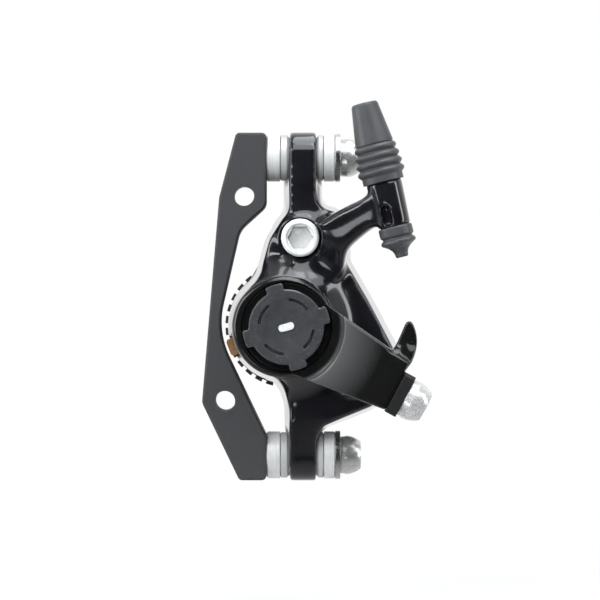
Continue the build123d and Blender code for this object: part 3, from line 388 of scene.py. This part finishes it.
class Finish:
    """A procedural material on Principled, with short calls for the nodes that it needs."""

    def __init__(self, name):
        self.material = bpy.data.materials.new(name)
        self.material.use_nodes = True
        self.tree = self.material.node_tree
        self.shader = self.tree.nodes["Principled BSDF"]
        self.place = self.node("ShaderNodeTexCoord").outputs["Object"]

    def node(self, kind, **values):
        """Add a node and set its inputs by name and its settings by attribute."""
        node = self.tree.nodes.new(kind)
        for key, value in values.items():
            socket = key.replace("_", " ").title()
            if socket in node.inputs:
                self.feed(node.inputs[socket], value)
            else:
                setattr(node, key, value)
        return node

    def feed(self, socket, value):
        """Link an output into a socket, or set the socket's value."""
        if isinstance(value, bpy.types.NodeSocket):
            self.tree.links.new(value, socket)
        else:
            socket.default_value = value

    def set(self, **values):
        """Set or link the shader's own sockets."""
        for key, value in values.items():
            self.feed(self.shader.inputs[key.replace("_", " ").title().replace("Ior", "IOR")], value)
        return self

    def stretched(self, scale):
        """Object coordinates scaled apart along the axes."""
        mapping = self.node("ShaderNodeMapping", vector=self.place)
        mapping.inputs["Scale"].default_value = scale
        return mapping.outputs["Vector"]

    def noise(self, size, detail=3.0, place=None):
        """Noise whose features are about that many millimetres wide."""
        texture = self.node("ShaderNodeTexNoise", scale=1.0 / (size * MM), detail=detail)
        self.feed(texture.inputs["Vector"], place or self.place)
        return texture.outputs["Fac"]

    def ramp(self, value, low, high, start=0.3, end=0.7):
        """Map a value onto a range between two numbers."""
        node = self.node("ShaderNodeMapRange", value=value)
        bounds = {"From Min": start, "From Max": end, "To Min": low, "To Max": high}
        for socket, bound in bounds.items():
            node.inputs[socket].default_value = bound
        return node.outputs["Result"]

    def combined(self, operation, first, second):
        """Join two values by an operation."""
        node = self.node("ShaderNodeMath", operation=operation)
        self.feed(node.inputs[0], first)
        self.feed(node.inputs[1], second)
        return node.outputs["Value"]

    def blend(self, amount, first, second):
        """Mix two colours."""
        node = self.node("ShaderNodeMix", data_type="RGBA")
        self.feed(node.inputs["Factor"], amount)
        for socket, colour in ((COLOUR_A, first), (COLOUR_B, second)):
            self.feed(node.inputs[socket], (*colour, 1) if isinstance(colour, tuple) else colour)
        return node.outputs[MIXED_COLOUR]

    def edge_mask(self, radius):
        """About 1 on edges and 0 on faces: 1 less the cosine between the true and rounded normals."""
        rounded = self.node("ShaderNodeBevel", radius=radius * MM, samples=BEVEL_SAMPLES)
        true = self.node("ShaderNodeNewGeometry").outputs["Normal"]
        dot = self.node("ShaderNodeVectorMath", operation="DOT_PRODUCT")
        self.feed(dot.inputs[0], rounded.outputs["Normal"])
        self.feed(dot.inputs[1], true)
        return self.ramp(dot.outputs["Value"], 1.0, 0.0, 0.82, 0.995)

    def relief(self, height, depth, strength=1.0, edge=0.0):
        """Bump of a height field, in millimetres, over edges rounded to a radius."""
        bump = self.node("ShaderNodeBump", strength=strength, distance=depth * MM, height=height)
        if edge:
            rounded = self.node("ShaderNodeBevel", radius=edge * MM, samples=BEVEL_SAMPLES)
            self.feed(bump.inputs["Normal"], rounded.outputs["Normal"])
        self.set(normal=bump.outputs["Normal"])
        return self


def shaded(colour, factor, lift=0.0):
    """A colour times a factor, lifted by a little, and white at most."""
    return tuple(min(1.0, channel * factor + lift) for channel in colour)


def worn(finish, colour, wear, edge, grain):
    """Colour with lighter edges that break up in a fine noise."""
    patches = finish.ramp(finish.noise(grain), 0.0, wear)
    amount = finish.combined("MULTIPLY", finish.edge_mask(edge), patches)
    return finish.blend(amount, tuple(colour), shaded(colour, 2.2, 0.02))


def enamel(name, colour):
    """Gloss enamel on a casting: clear coat over black, slight orange peel, soft flow marks."""
    finish = Finish(name)
    cloud = finish.ramp(finish.noise(6.0), 0.0, 1.0)
    finish.set(base_color=finish.blend(cloud, tuple(colour), shaded(colour, 2.0)))
    finish.set(roughness=finish.ramp(finish.noise(9.0), 0.12, 0.2))
    finish.set(coat_weight=0.7, coat_roughness=0.04)
    return finish.relief(finish.noise(1.8, 2.0), 0.01, 0.4).material


# Where a painted sheen makes the arm's black paler, counted from the pivot in metres
PAINTED_SHEEN_IN = (12.8 * MM, 13.8 * MM)
PAINTED_SHEEN_OUT = (14.5 * MM, 24.0 * MM)


def satin_black(name, colour):
    """Tumbled and black anodised forging: fine pits, and a painted sheen that makes the black paler just outside
    the hub's ring and fades out along the lever.
    """
    finish = Finish(name)
    mapping = finish.node("ShaderNodeMapping", vector=finish.place)
    mapping.inputs["Location"].default_value = (-PIVOT[0], 0.0, -PIVOT[2])
    mapping.inputs["Scale"].default_value = (1.0, 0.0, 1.0)
    from_pivot = finish.node("ShaderNodeVectorMath", operation="LENGTH")
    finish.feed(from_pivot.inputs[0], mapping.outputs["Vector"])
    radius = from_pivot.outputs["Value"]
    within = finish.ramp(radius, 0.0, 1.0, *PAINTED_SHEEN_IN)
    # Painted sheen: the black turns paler past the hub's ring and fades back to plain black towards the lever's
    # end
    painted_sheen = finish.combined("MULTIPLY", within, finish.ramp(radius, 1.0, 0.0, *PAINTED_SHEEN_OUT))
    finish.set(base_color=finish.blend(painted_sheen, tuple(colour), shaded(colour, 12.0)))
    finish.set(roughness=finish.ramp(finish.noise(5.0), 0.16, 0.22))
    finish.set(coat_weight=0.4, coat_roughness=0.08)
    return finish.relief(finish.noise(0.35, 4.0), 0.006, 0.4).material


def blasted(name, colour, wear):
    """Bead-blasted, anodised plate: an even grain of pits, and edges worn paler."""
    finish = Finish(name)
    base = worn(finish, colour, wear, edge=0.35, grain=0.6)
    cloud = finish.ramp(finish.noise(14.0), 0.0, 0.35)
    finish.set(base_color=finish.blend(cloud, base, shaded(colour, 0.8)), metallic=0.35)
    finish.set(roughness=finish.ramp(finish.noise(0.8), 0.5, 0.62))
    return finish.relief(finish.noise(0.22, 5.0), 0.02, 0.8, edge=0.35).material


def metal(name, colour, gloss, grain, depth, stretch=(1.0, 1.0, 1.0), edge=0.25, metallic=1.0):
    """Bare metal: roughness between two values, over a grain that may be stretched along an axis."""
    finish = Finish(name)
    streak = finish.noise(grain, 4.0, finish.stretched(stretch))
    cloud = finish.ramp(streak, 0.0, 1.0)
    finish.set(base_color=finish.blend(cloud, tuple(colour), shaded(colour, 0.82)), metallic=metallic)
    finish.set(roughness=finish.ramp(finish.noise(2.5), *gloss))
    return finish.relief(streak, depth, 0.6, edge=edge).material


def rubber(name, colour):
    """Moulded rubber: dull, mottled paler at random, with a fine moulded grain."""
    finish = Finish(name)
    cloud = finish.ramp(finish.noise(3.5), 0.0, 0.5)
    finish.set(base_color=finish.blend(cloud, tuple(colour), shaded(colour, 1.5, 0.01)))
    finish.set(roughness=finish.ramp(finish.noise(1.1), 0.34, 0.46), specular_ior_level=0.6)
    return finish.relief(finish.noise(0.3, 5.0), 0.03, 0.6).material


def moulded(name, colour):
    """Glass-filled plastic: satin, faintly mottled, with a fine spark-eroded grain."""
    finish = Finish(name)
    cloud = finish.ramp(finish.noise(2.4), 0.0, 1.0)
    finish.set(base_color=finish.blend(cloud, tuple(colour), shaded(colour, 1.35)))
    finish.set(roughness=finish.ramp(finish.noise(0.9), 0.2, 0.3))
    finish.set(coat_weight=0.5, coat_roughness=0.1)
    return finish.relief(finish.noise(0.25, 5.0), 0.006, 0.5, edge=0.35).material


def friction_block(name):
    """Sintered lining: dark crumbs with bronze specks."""
    finish = Finish(name)
    cells = finish.node("ShaderNodeTexVoronoi", scale=1 / (0.5 * MM), vector=finish.place)
    specks = finish.ramp(finish.noise(0.4), 0.0, 1.0, 0.55, 0.62)
    finish.set(base_color=finish.blend(specks, (0.045, 0.04, 0.036), (0.28, 0.17, 0.08)))
    finish.set(roughness=0.85)
    return finish.relief(cells.outputs["Distance"], 0.08, 0.8).material


def clothe(piece, material):
    """Give an object a material in place of those that it has."""
    piece.data.materials.clear()
    piece.data.materials.append(material)


def dress(material, *nodes):
    """Give CAD nodes a material."""
    for node in nodes:
        clothe(FRAME["nodes"][node], material)


# Pieces

# Ribs of the upper boot
RIBS = 4


class CALIPER_OT_upper_boot(bpy.types.Operator):
    """Ribbed boot: r(s) is a cone with four round ribs of |sin| shape, closed by its bore"""

    bl_idname = "caliper.upper_boot"
    bl_label = "Upper boot"

    def execute(self, context):
        boots = context.scene.caliper_boots
        low, high = along_stop("housing_boot")
        total = high - low
        foot, rib, cone_foot, mouth = 5.0 * MM, 5.78 * MM, 4.7 * MM, 3.2 * MM
        bore, socket = 2.6 * MM, 3.7 * MM
        bore_end, socket_depth, corner = 8.0 * MM, 6.04 * MM, 0.02 * MM
        ribs_end = boots.rib_start + boots.rib_pitch * RIBS
        up = np.linspace(0, total - boots.lip, 260)
        taper = 1 - 0.16 * np.clip((up - boots.rib_start) / (ribs_end - boots.rib_start), 0, 1) ** 2
        wave = np.abs(np.sin(np.pi * (up - boots.rib_start) / boots.rib_pitch))
        ribbed = (rib - boots.rib_depth) * taper + boots.rib_depth * wave
        cone = cone_foot + (mouth - cone_foot) * np.clip((up - ribs_end) / (total - ribs_end), 0, 1)
        radius = np.where(up < boots.rib_start, foot, np.where(up < ribs_end, ribbed, cone))
        turn = np.linspace(0, np.pi / 2, 9)[1:]
        lip_radius = mouth - boots.lip * (1 - np.cos(turn))
        lip_height = total - boots.lip * (1 - np.sin(turn))
        inner_radius = np.array([bore, bore, bore, socket, socket])
        inner_height = np.array([total - 0.1 * MM, bore_end, socket_depth + corner, socket_depth, 0.0])
        radii = np.concatenate([radius, lip_radius, inner_radius])
        heights = low + np.concatenate([up, lip_height, inner_height])
        finish_boot(lathe("upper_boot", radii, heights), context, "housing_boot")
        return {"FINISHED"}


# Half profile of the exit boot: share of its height from the top, and radius in millimetres
EXIT_PROFILE = np.array(
    [
        (0.0, 3.9), (0.02, 4.08), (0.05, 4.15), (0.27, 4.15), (0.31, 4.05), (0.345, 3.62),
        (0.38, 3.66), (0.44, 4.2), (0.5, 4.3), (0.545, 4.2), (0.58, 3.7), (0.66, 2.75),
        (0.76, 2.0), (0.86, 1.65), (0.96, 1.55), (1.0, 1.35),
    ]
)


class CALIPER_OT_lower_boot(bpy.types.Operator):
    """Exit boot: collar, groove, flange and a hollow-sided taper to the nozzle, closed by its hole"""

    bl_idname = "caliper.lower_boot"
    bl_label = "Lower boot"

    def execute(self, context):
        low, high = along_stop("cable_boot")
        total = high - low
        nozzle, socket, socket_depth, corner = 1.1 * MM, 2.95 * MM, 3.45 * MM, 0.01 * MM
        down = np.linspace(0, 1, 140)
        radius = np.interp(down, EXIT_PROFILE[:, 0], EXIT_PROFILE[:, 1] * MM)
        kernel = np.hanning(9) / np.hanning(9).sum()
        padded = np.concatenate([np.full(4, radius[0]), radius, np.full(4, radius[-1])])
        radius = np.convolve(padded, kernel, mode="valid")
        inner_radius = np.array([nozzle, nozzle, socket, socket])
        inner_height = low + np.array([0.0, total - socket_depth, total - socket_depth + corner, total])
        radii = np.concatenate([radius, inner_radius])
        heights = np.concatenate([high - down * total, inner_height])
        finish_boot(lathe("lower_boot", radii[::-1], heights[::-1]), context, "cable_boot")
        return {"FINISHED"}


def along_stop(node):
    """Lowest and highest reach of a node along the stop's axis, counted from the stop's mount."""
    heights = (coordinates(FRAME["nodes"][node].data) - STOP_POINT) @ STOP_AXIS
    return float(heights.min()), float(heights.max())


def finish_boot(boot, context, node):
    """Dress a boot, and let it ride in place of its CAD node."""
    material = bpy.data.materials.get("boot_rubber_finish")
    if material is None:
        material = rubber("boot_rubber_finish", context.scene.caliper_finishes.rubber)
    boot.data.materials.append(material)
    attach(boot, "caliper_body")
    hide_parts(node)


class CALIPER_OT_bracket(bpy.types.Operator):
    """Blasted finish of the frame bracket"""

    bl_idname = "caliper.bracket"
    bl_label = "Bracket"

    def execute(self, context):
        finishes = context.scene.caliper_finishes
        dress(blasted("bracket_finish", finishes.bracket, finishes.wear), "adapter_bracket")
        return {"FINISHED"}


class CALIPER_OT_washers(bpy.types.Operator):
    """Finishes of the cup, ball and flange washers, grained round the bolts"""

    bl_idname = "caliper.washers"
    bl_label = "Washers"

    def execute(self, context):
        finishes = context.scene.caliper_finishes
        pale, dark, steel = finishes.pale_metal, finishes.dark_metal, finishes.steel
        turned = (1.0, 0.08, 0.08)
        cups = metal("cup_washer_finish", pale, (0.4, 0.5), 0.5, 0.03, turned, metallic=0.45)
        balls = metal("ball_washer_finish", dark, (0.38, 0.5), 0.35, 0.02, turned, metallic=0.4)
        flanges = metal("flange_washer_finish", steel, (0.22, 0.32), 0.4, 0.01, turned)
        dress(cups, "bracket_cup_washers", "head_cup_washers")
        dress(balls, "bracket_ball_washers", "head_ball_washers")
        dress(flanges, "flange_washers")
        return {"FINISHED"}


class CALIPER_OT_bolts(bpy.types.Operator):
    """Bright steel of the mount bolts, body bolts and pinch bolt"""

    bl_idname = "caliper.bolts"
    bl_label = "Bolts"

    def execute(self, context):
        finishes = context.scene.caliper_finishes
        steel, faced_steel = finishes.steel, finishes.faced_steel
        polished = metal("bolt_finish", steel, (0.2, 0.3), 0.8, 0.003, edge=0.35, metallic=0.85)
        cast = metal("pinch_bolt_finish", steel, (0.2, 0.3), 0.8, 0.004, edge=0.4, metallic=0.6)
        faced = metal("faced_bolt_finish", faced_steel, (0.18, 0.3), 0.5, 0.02, edge=0.35, metallic=0.1)
        dress(polished, "mount_bolts")
        dress(cast, "pinch_bolt")
        dress(faced, "body_bolts")
        return {"FINISHED"}


# Cell in millimetres and smoothing passes that round the edges of castings and of the forging
CAST_EDGES = (0.42, 14)
FORGED_EDGES = (0.3, 5)


class CALIPER_OT_casting(bpy.types.Operator):
    """Gloss enamel of both housing halves"""

    bl_idname = "caliper.casting"
    bl_label = "Housing halves"

    def execute(self, context):
        casting = context.scene.caliper_casting
        gloss = enamel("casting_finish", context.scene.caliper_finishes.casting)
        ride = ("caliper_body", "gloss_black")
        outboard = softened("outboard_casting", "outboard_housing", *ride, *CAST_EDGES)
        rounding = shoulder_share(coordinates(outboard.data), casting)
        dip_shoulder(outboard.data, casting)
        melted(outboard, 0.5 * rounding, 140)
        clothe(outboard, gloss)
        clothe(softened("inboard_casting", "inboard_housing", *ride, *CAST_EDGES), gloss)
        return {"FINISHED"}


class CALIPER_OT_arm(bpy.types.Operator):
    """Satin black arm and the rough plate that pinches the cable"""

    bl_idname = "caliper.arm"
    bl_label = "Arm"

    def execute(self, context):
        finishes = context.scene.caliper_finishes
        forging = softened("arm_forging", "actuation_arm", "arm", "arm_black", *FORGED_EDGES)
        horn = horn_share(coordinates(forging.data))
        crown_horn(forging.data, context.scene.caliper_casting)
        melted(forging, 0.5 * horn, 30)
        clothe(forging, satin_black("arm_finish", finishes.arm))
        dress(blasted("pinch_plate_finish", finishes.pinch_plate, finishes.wear), "pinch_plate")
        return {"FINISHED"}


class CALIPER_OT_knobs(bpy.types.Operator):
    """Moulded adjusters and their screws"""

    bl_idname = "caliper.knobs"
    bl_label = "Adjusters"

    def execute(self, context):
        finishes = context.scene.caliper_finishes
        dress(moulded("knob_finish", finishes.knob), "outboard_knob", "inboard_knob")
        bright = metal("screw_finish", finishes.pale_metal, (0.25, 0.35), 0.4, 0.01, metallic=0.3)
        dress(bright, "foot_screw", "inboard_screw")
        return {"FINISHED"}


class CALIPER_OT_cam_stack(bpy.types.Operator):
    """Ground steel of the cams, balls and feet, the brass-coloured cage, the seal and the springs"""

    bl_idname = "caliper.cam_stack"
    bl_label = "Cam stack"

    def execute(self, context):
        finishes = context.scene.caliper_finishes
        dull, steel = finishes.dark_metal, finishes.steel
        ground = metal("ground_steel_finish", dull, (0.22, 0.32), 0.3, 0.005, (1.0, 0.1, 1.0))
        drawn = metal("spring_wire_finish", dull, (0.3, 0.4), 0.3, 0.005)
        dress(ground, "fixed_cam", "drive_cam", "thrust_washer")
        dress(ground, "outboard_pressure_foot", "inboard_pressure_foot")
        dress(metal("ball_finish", steel, (0.05, 0.1), 1.0, 0.002), "cam_balls")
        dress(metal("cage_finish", finishes.cage, (0.3, 0.4), 0.5, 0.01), "ball_cage")
        dress(drawn, "pad_spring")
        coil = copied("return_coil", "return_spring", "caliper_body")
        close_coil(coil.data, context.scene.caliper_casting.coil_travel)
        clothe(coil, drawn)
        dress(rubber("seal_finish", finishes.seal), "arm_seal")
        return {"FINISHED"}


class CALIPER_OT_pads(bpy.types.Operator):
    """Copper-washed plates and sintered linings"""

    bl_idname = "caliper.pads"
    bl_label = "Pads"

    def execute(self, context):
        finishes = context.scene.caliper_finishes
        plate = metal("pad_plate_finish", finishes.copper, (0.35, 0.5), 0.6, 0.02, metallic=0.05)
        dress(plate, "outboard_pad_plate", "inboard_pad_plate")
        dress(friction_block("lining_finish"), "outboard_pad_lining", "inboard_pad_lining")
        return {"FINISHED"}


# Lamps: name, place, size, power setting, share of that power, and whether gloss mirrors them
LAMPS = (
    ("left_strip", (-0.6, -0.16, 0.06), (0.2, 0.8), "side_light", 1.0, True),
    ("right_strip", (0.62, -0.18, 0.02), (0.12, 0.7), "side_light", 0.6, True),
    ("top_box", (0.12, -0.05, 0.6), (0.55, 0.4), "top_light", 1.0, True),
    ("high_front_box", (0.1, -0.4, 0.52), (0.5, 0.32), "high_light", 1.0, True),
    ("right_front_box", (0.4, -0.4, 0.4), (0.36, 0.36), "right_light", 1.0, True),
    ("edge_box", (-0.36, -0.38, 0.36), (0.34, 0.14), "edge_light", 1.0, True),
    ("low_left_box", (-0.24, -0.59, -0.28), (0.2, 0.2), "low_light", 1.0, True),
    ("key_box", (-0.4, -0.6, 0.42), (0.4, 0.4), "key_light", 1.0, False),
    ("front_box", (-0.05, -0.72, 0.12), (0.2, 0.2), "front_light", 1.0, False),
)
LAMP_AIM = np.array((0.015, 0.0, 0.0))
LAMP_COLOUR = (0.93, 0.965, 1.0)

# Backdrop in metres: front edge on Y, where it stands upright, bend, height and half width
BACKDROP_FRONT = -0.12
BACKDROP_REACH = 1.4
BACKDROP_BEND = 0.4
BACKDROP_HEIGHT = 1.4
BACKDROP_HALF_WIDTH = 2.2

# Along Y in metres: where gloss sees the floor fade in, and where the floor turns wholly white
MIRROR_FADE = (-0.1, 0.14)
SHADOW_FADE = (0.06, 0.12)


class CALIPER_OT_studio(bpy.types.Operator):
    """Pale floor curving up into a backdrop, soft boxes, a pale world and the camera"""

    bl_idname = "caliper.studio"
    bl_label = "Studio"

    def execute(self, context):
        studio = context.scene.caliper_studio
        sweep(studio.floor)
        for name, place, size, setting, part, in_gloss in LAMPS:
            soft_box(name, place, size, part * getattr(studio, setting), in_gloss)
        pale_world(context.scene)
        camera_data = bpy.data.cameras.new("camera")
        camera = bpy.data.objects.new("camera", camera_data)
        context.scene.collection.objects.link(camera)
        camera.location = (studio.centre_x, studio.plane - studio.distance, studio.centre_z)
        camera.rotation_euler = (math.pi / 2, 0.0, 0.0)
        camera_data.sensor_width = 36.0
        camera_data.sensor_fit = "HORIZONTAL"
        camera_data.lens = camera_data.sensor_width * studio.distance / studio.view_width
        camera_data.clip_start = 0.01
        context.scene.camera = camera
        context.scene.view_settings.view_transform = "Standard"
        return {"FINISHED"}


def sweep(floor):
    """Floor and backdrop as one sheet: level to the bend, a quarter circle, then upright."""
    bend = BACKDROP_BEND
    flat = np.linspace(BACKDROP_FRONT, BACKDROP_REACH - bend, 20)
    turn = np.linspace(0, np.pi / 2, 24)[1:]
    wall = np.linspace(0, BACKDROP_HEIGHT, 10)[1:]
    curve = BACKDROP_REACH - bend + bend * np.sin(turn)
    depth = np.concatenate([flat, curve, np.full(len(wall), BACKDROP_REACH)])
    height = np.concatenate([np.zeros(len(flat)), bend - bend * np.cos(turn), bend + wall]) + floor
    across = np.linspace(-BACKDROP_HALF_WIDTH, BACKDROP_HALF_WIDTH, 9)
    points = np.zeros((len(depth), len(across), 3))
    points[..., 0] = across[None]
    points[..., 1] = depth[:, None]
    points[..., 2] = height[:, None]
    faces = grid_faces(len(depth), len(across), False)
    backdrop = mesh_object("backdrop", points.reshape(-1, 3), faces)
    backdrop.data.materials.append(backdrop_finish())


def backdrop_finish():
    """Matt white that keeps the object's shadow near it, and is plain white to the camera elsewhere."""
    finish = Finish("backdrop_finish")
    finish.set(base_color=(0.82, 0.82, 0.82, 1), roughness=0.9)
    light = finish.node("ShaderNodeLightPath")
    kinds = ("Camera", "Glossy", "Transmission")
    camera, glossy, through = (light.outputs[f"Is {kind} Ray"] for kind in kinds)
    along = finish.node("ShaderNodeSeparateXYZ", vector=finish.place).outputs["Y"]
    mirrored = finish.combined("MULTIPLY", glossy, finish.ramp(along, 0.02, 1.0, *MIRROR_FADE))
    direct = finish.combined("MAXIMUM", camera, through)
    white = finish.node("ShaderNodeEmission", color=(1, 1, 1, 1))
    finish.feed(white.inputs["Strength"], finish.combined("MAXIMUM", direct, mirrored))
    apart = finish.combined("MAXIMUM", along, finish.combined("MULTIPLY", along, -1.0))
    pale = finish.combined("MULTIPLY", camera, finish.ramp(apart, 0.8, 1.0, *SHADOW_FADE))
    seen = finish.combined("MAXIMUM", finish.combined("MAXIMUM", pale, through), glossy)
    mix = finish.node("ShaderNodeMixShader")
    finish.feed(mix.inputs[0], seen)
    finish.feed(mix.inputs[1], finish.shader.outputs[0])
    finish.feed(mix.inputs[2], white.outputs[0])
    finish.feed(finish.tree.nodes["Material Output"].inputs["Surface"], mix.outputs[0])
    return finish.material


def soft_box(name, place, size, power, in_gloss):
    """Area lamp that faces the caliper, hidden from the camera and, where asked, from gloss."""
    data = bpy.data.lights.new(name, "AREA")
    data.shape = "RECTANGLE"
    data.size, data.size_y = size
    data.energy = power
    data.color = LAMP_COLOUR
    lamp = bpy.data.objects.new(name, data)
    bpy.context.scene.collection.objects.link(lamp)
    lamp.location = place
    lamp.visible_camera = False
    lamp.visible_glossy = in_gloss
    aim = LAMP_AIM - np.array(place)
    aim /= np.linalg.norm(aim)
    tilt = math.acos(-aim[2])
    lamp.rotation_euler = (tilt, 0.0, math.atan2(aim[1], aim[0]) - math.pi / 2)


# Tent round the object: brightness in front and behind, and where along the view it changes
TENT_BOUNDS = {"From Min": -0.7, "From Max": 0.9, "To Min": 0.015, "To Max": 1.0}
MATT_FILL = 0.2


def pale_world(scene):
    """World: white to the camera, a pale fill for matt surfaces, and for gloss a white tent that is
    dark in front of the object."""
    world = bpy.data.worlds.new("studio_world")
    scene.world = world
    world.use_nodes = True
    tree = world.node_tree

    def node(kind, operation=None):
        made = tree.nodes.new(kind)
        if operation:
            made.operation = operation
        return made

    parts = node("ShaderNodeSeparateXYZ")
    tree.links.new(node("ShaderNodeTexCoord").outputs["Generated"], parts.inputs[0])
    tent = node("ShaderNodeMapRange")
    tent.interpolation_type = "SMOOTHSTEP"
    for socket, bound in TENT_BOUNDS.items():
        tent.inputs[socket].default_value = bound
    tree.links.new(parts.outputs["Y"], tent.inputs["Value"])
    path = node("ShaderNodeLightPath")
    fill = node("ShaderNodeMix")
    fill.inputs["A"].default_value = MATT_FILL
    tree.links.new(path.outputs["Is Glossy Ray"], fill.inputs["Factor"])
    tree.links.new(tent.outputs["Result"], fill.inputs["B"])
    brightest = node("ShaderNodeMath", "MAXIMUM")
    tree.links.new(fill.outputs["Result"], brightest.inputs[0])
    tree.links.new(path.outputs["Is Camera Ray"], brightest.inputs[1])
    background = tree.nodes["Background"]
    background.inputs["Color"].default_value = (1, 1, 1, 1)
    tree.links.new(brightest.outputs["Value"], background.inputs["Strength"])


OPERATORS = (
    CALIPER_OT_studio,
    CALIPER_OT_upper_boot,
    CALIPER_OT_lower_boot,
    CALIPER_OT_bracket,
    CALIPER_OT_washers,
    CALIPER_OT_bolts,
    CALIPER_OT_casting,
    CALIPER_OT_arm,
    CALIPER_OT_knobs,
    CALIPER_OT_cam_stack,
    CALIPER_OT_pads,
)


class CALIPER_PT_pieces(bpy.types.Panel):
    """Lists the caliper's pieces and their settings"""

    bl_idname = "CALIPER_PT_pieces"
    bl_label = "Disc Brake Caliper"
    bl_space_type = "VIEW_3D"
    bl_region_type = "UI"
    bl_category = "Caliper"

    def draw(self, context):
        for operator in OPERATORS:
            self.layout.operator(operator.bl_idname)
        for name in GROUPS:
            group = getattr(context.scene, name)
            box = self.layout.box()
            for setting in group.__annotations__:
                box.prop(group, setting)


GROUPS = {
    "caliper_boots": CALIPER_PG_boots,
    "caliper_casting": CALIPER_PG_casting,
    "caliper_finishes": CALIPER_PG_finishes,
    "caliper_studio": CALIPER_PG_studio,
}
CLASSES = (*GROUPS.values(), *OPERATORS, CALIPER_PT_pieces)


def register():
    """Register the classes and hang the settings on the scene."""
    for item in CLASSES:
        bpy.utils.register_class(item)
    for name, group in GROUPS.items():
        setattr(bpy.types.Scene, name, bpy.props.PointerProperty(type=group))


def unregister():
    """Take the settings and the classes away again."""
    for name in GROUPS:
        delattr(bpy.types.Scene, name)
    for item in reversed(CLASSES):
        bpy.utils.unregister_class(item)


def main():
    register()
    bpy.ops.caliper.studio()
    bpy.ops.caliper.upper_boot()
    bpy.ops.caliper.lower_boot()
    bpy.ops.caliper.bracket()
    bpy.ops.caliper.washers()
    bpy.ops.caliper.bolts()
    bpy.ops.caliper.casting()
    bpy.ops.caliper.arm()
    bpy.ops.caliper.knobs()
    bpy.ops.caliper.cam_stack()
    bpy.ops.caliper.pads()
    bpy.context.view_layer.update()


if __name__ == "__main__":
    main()
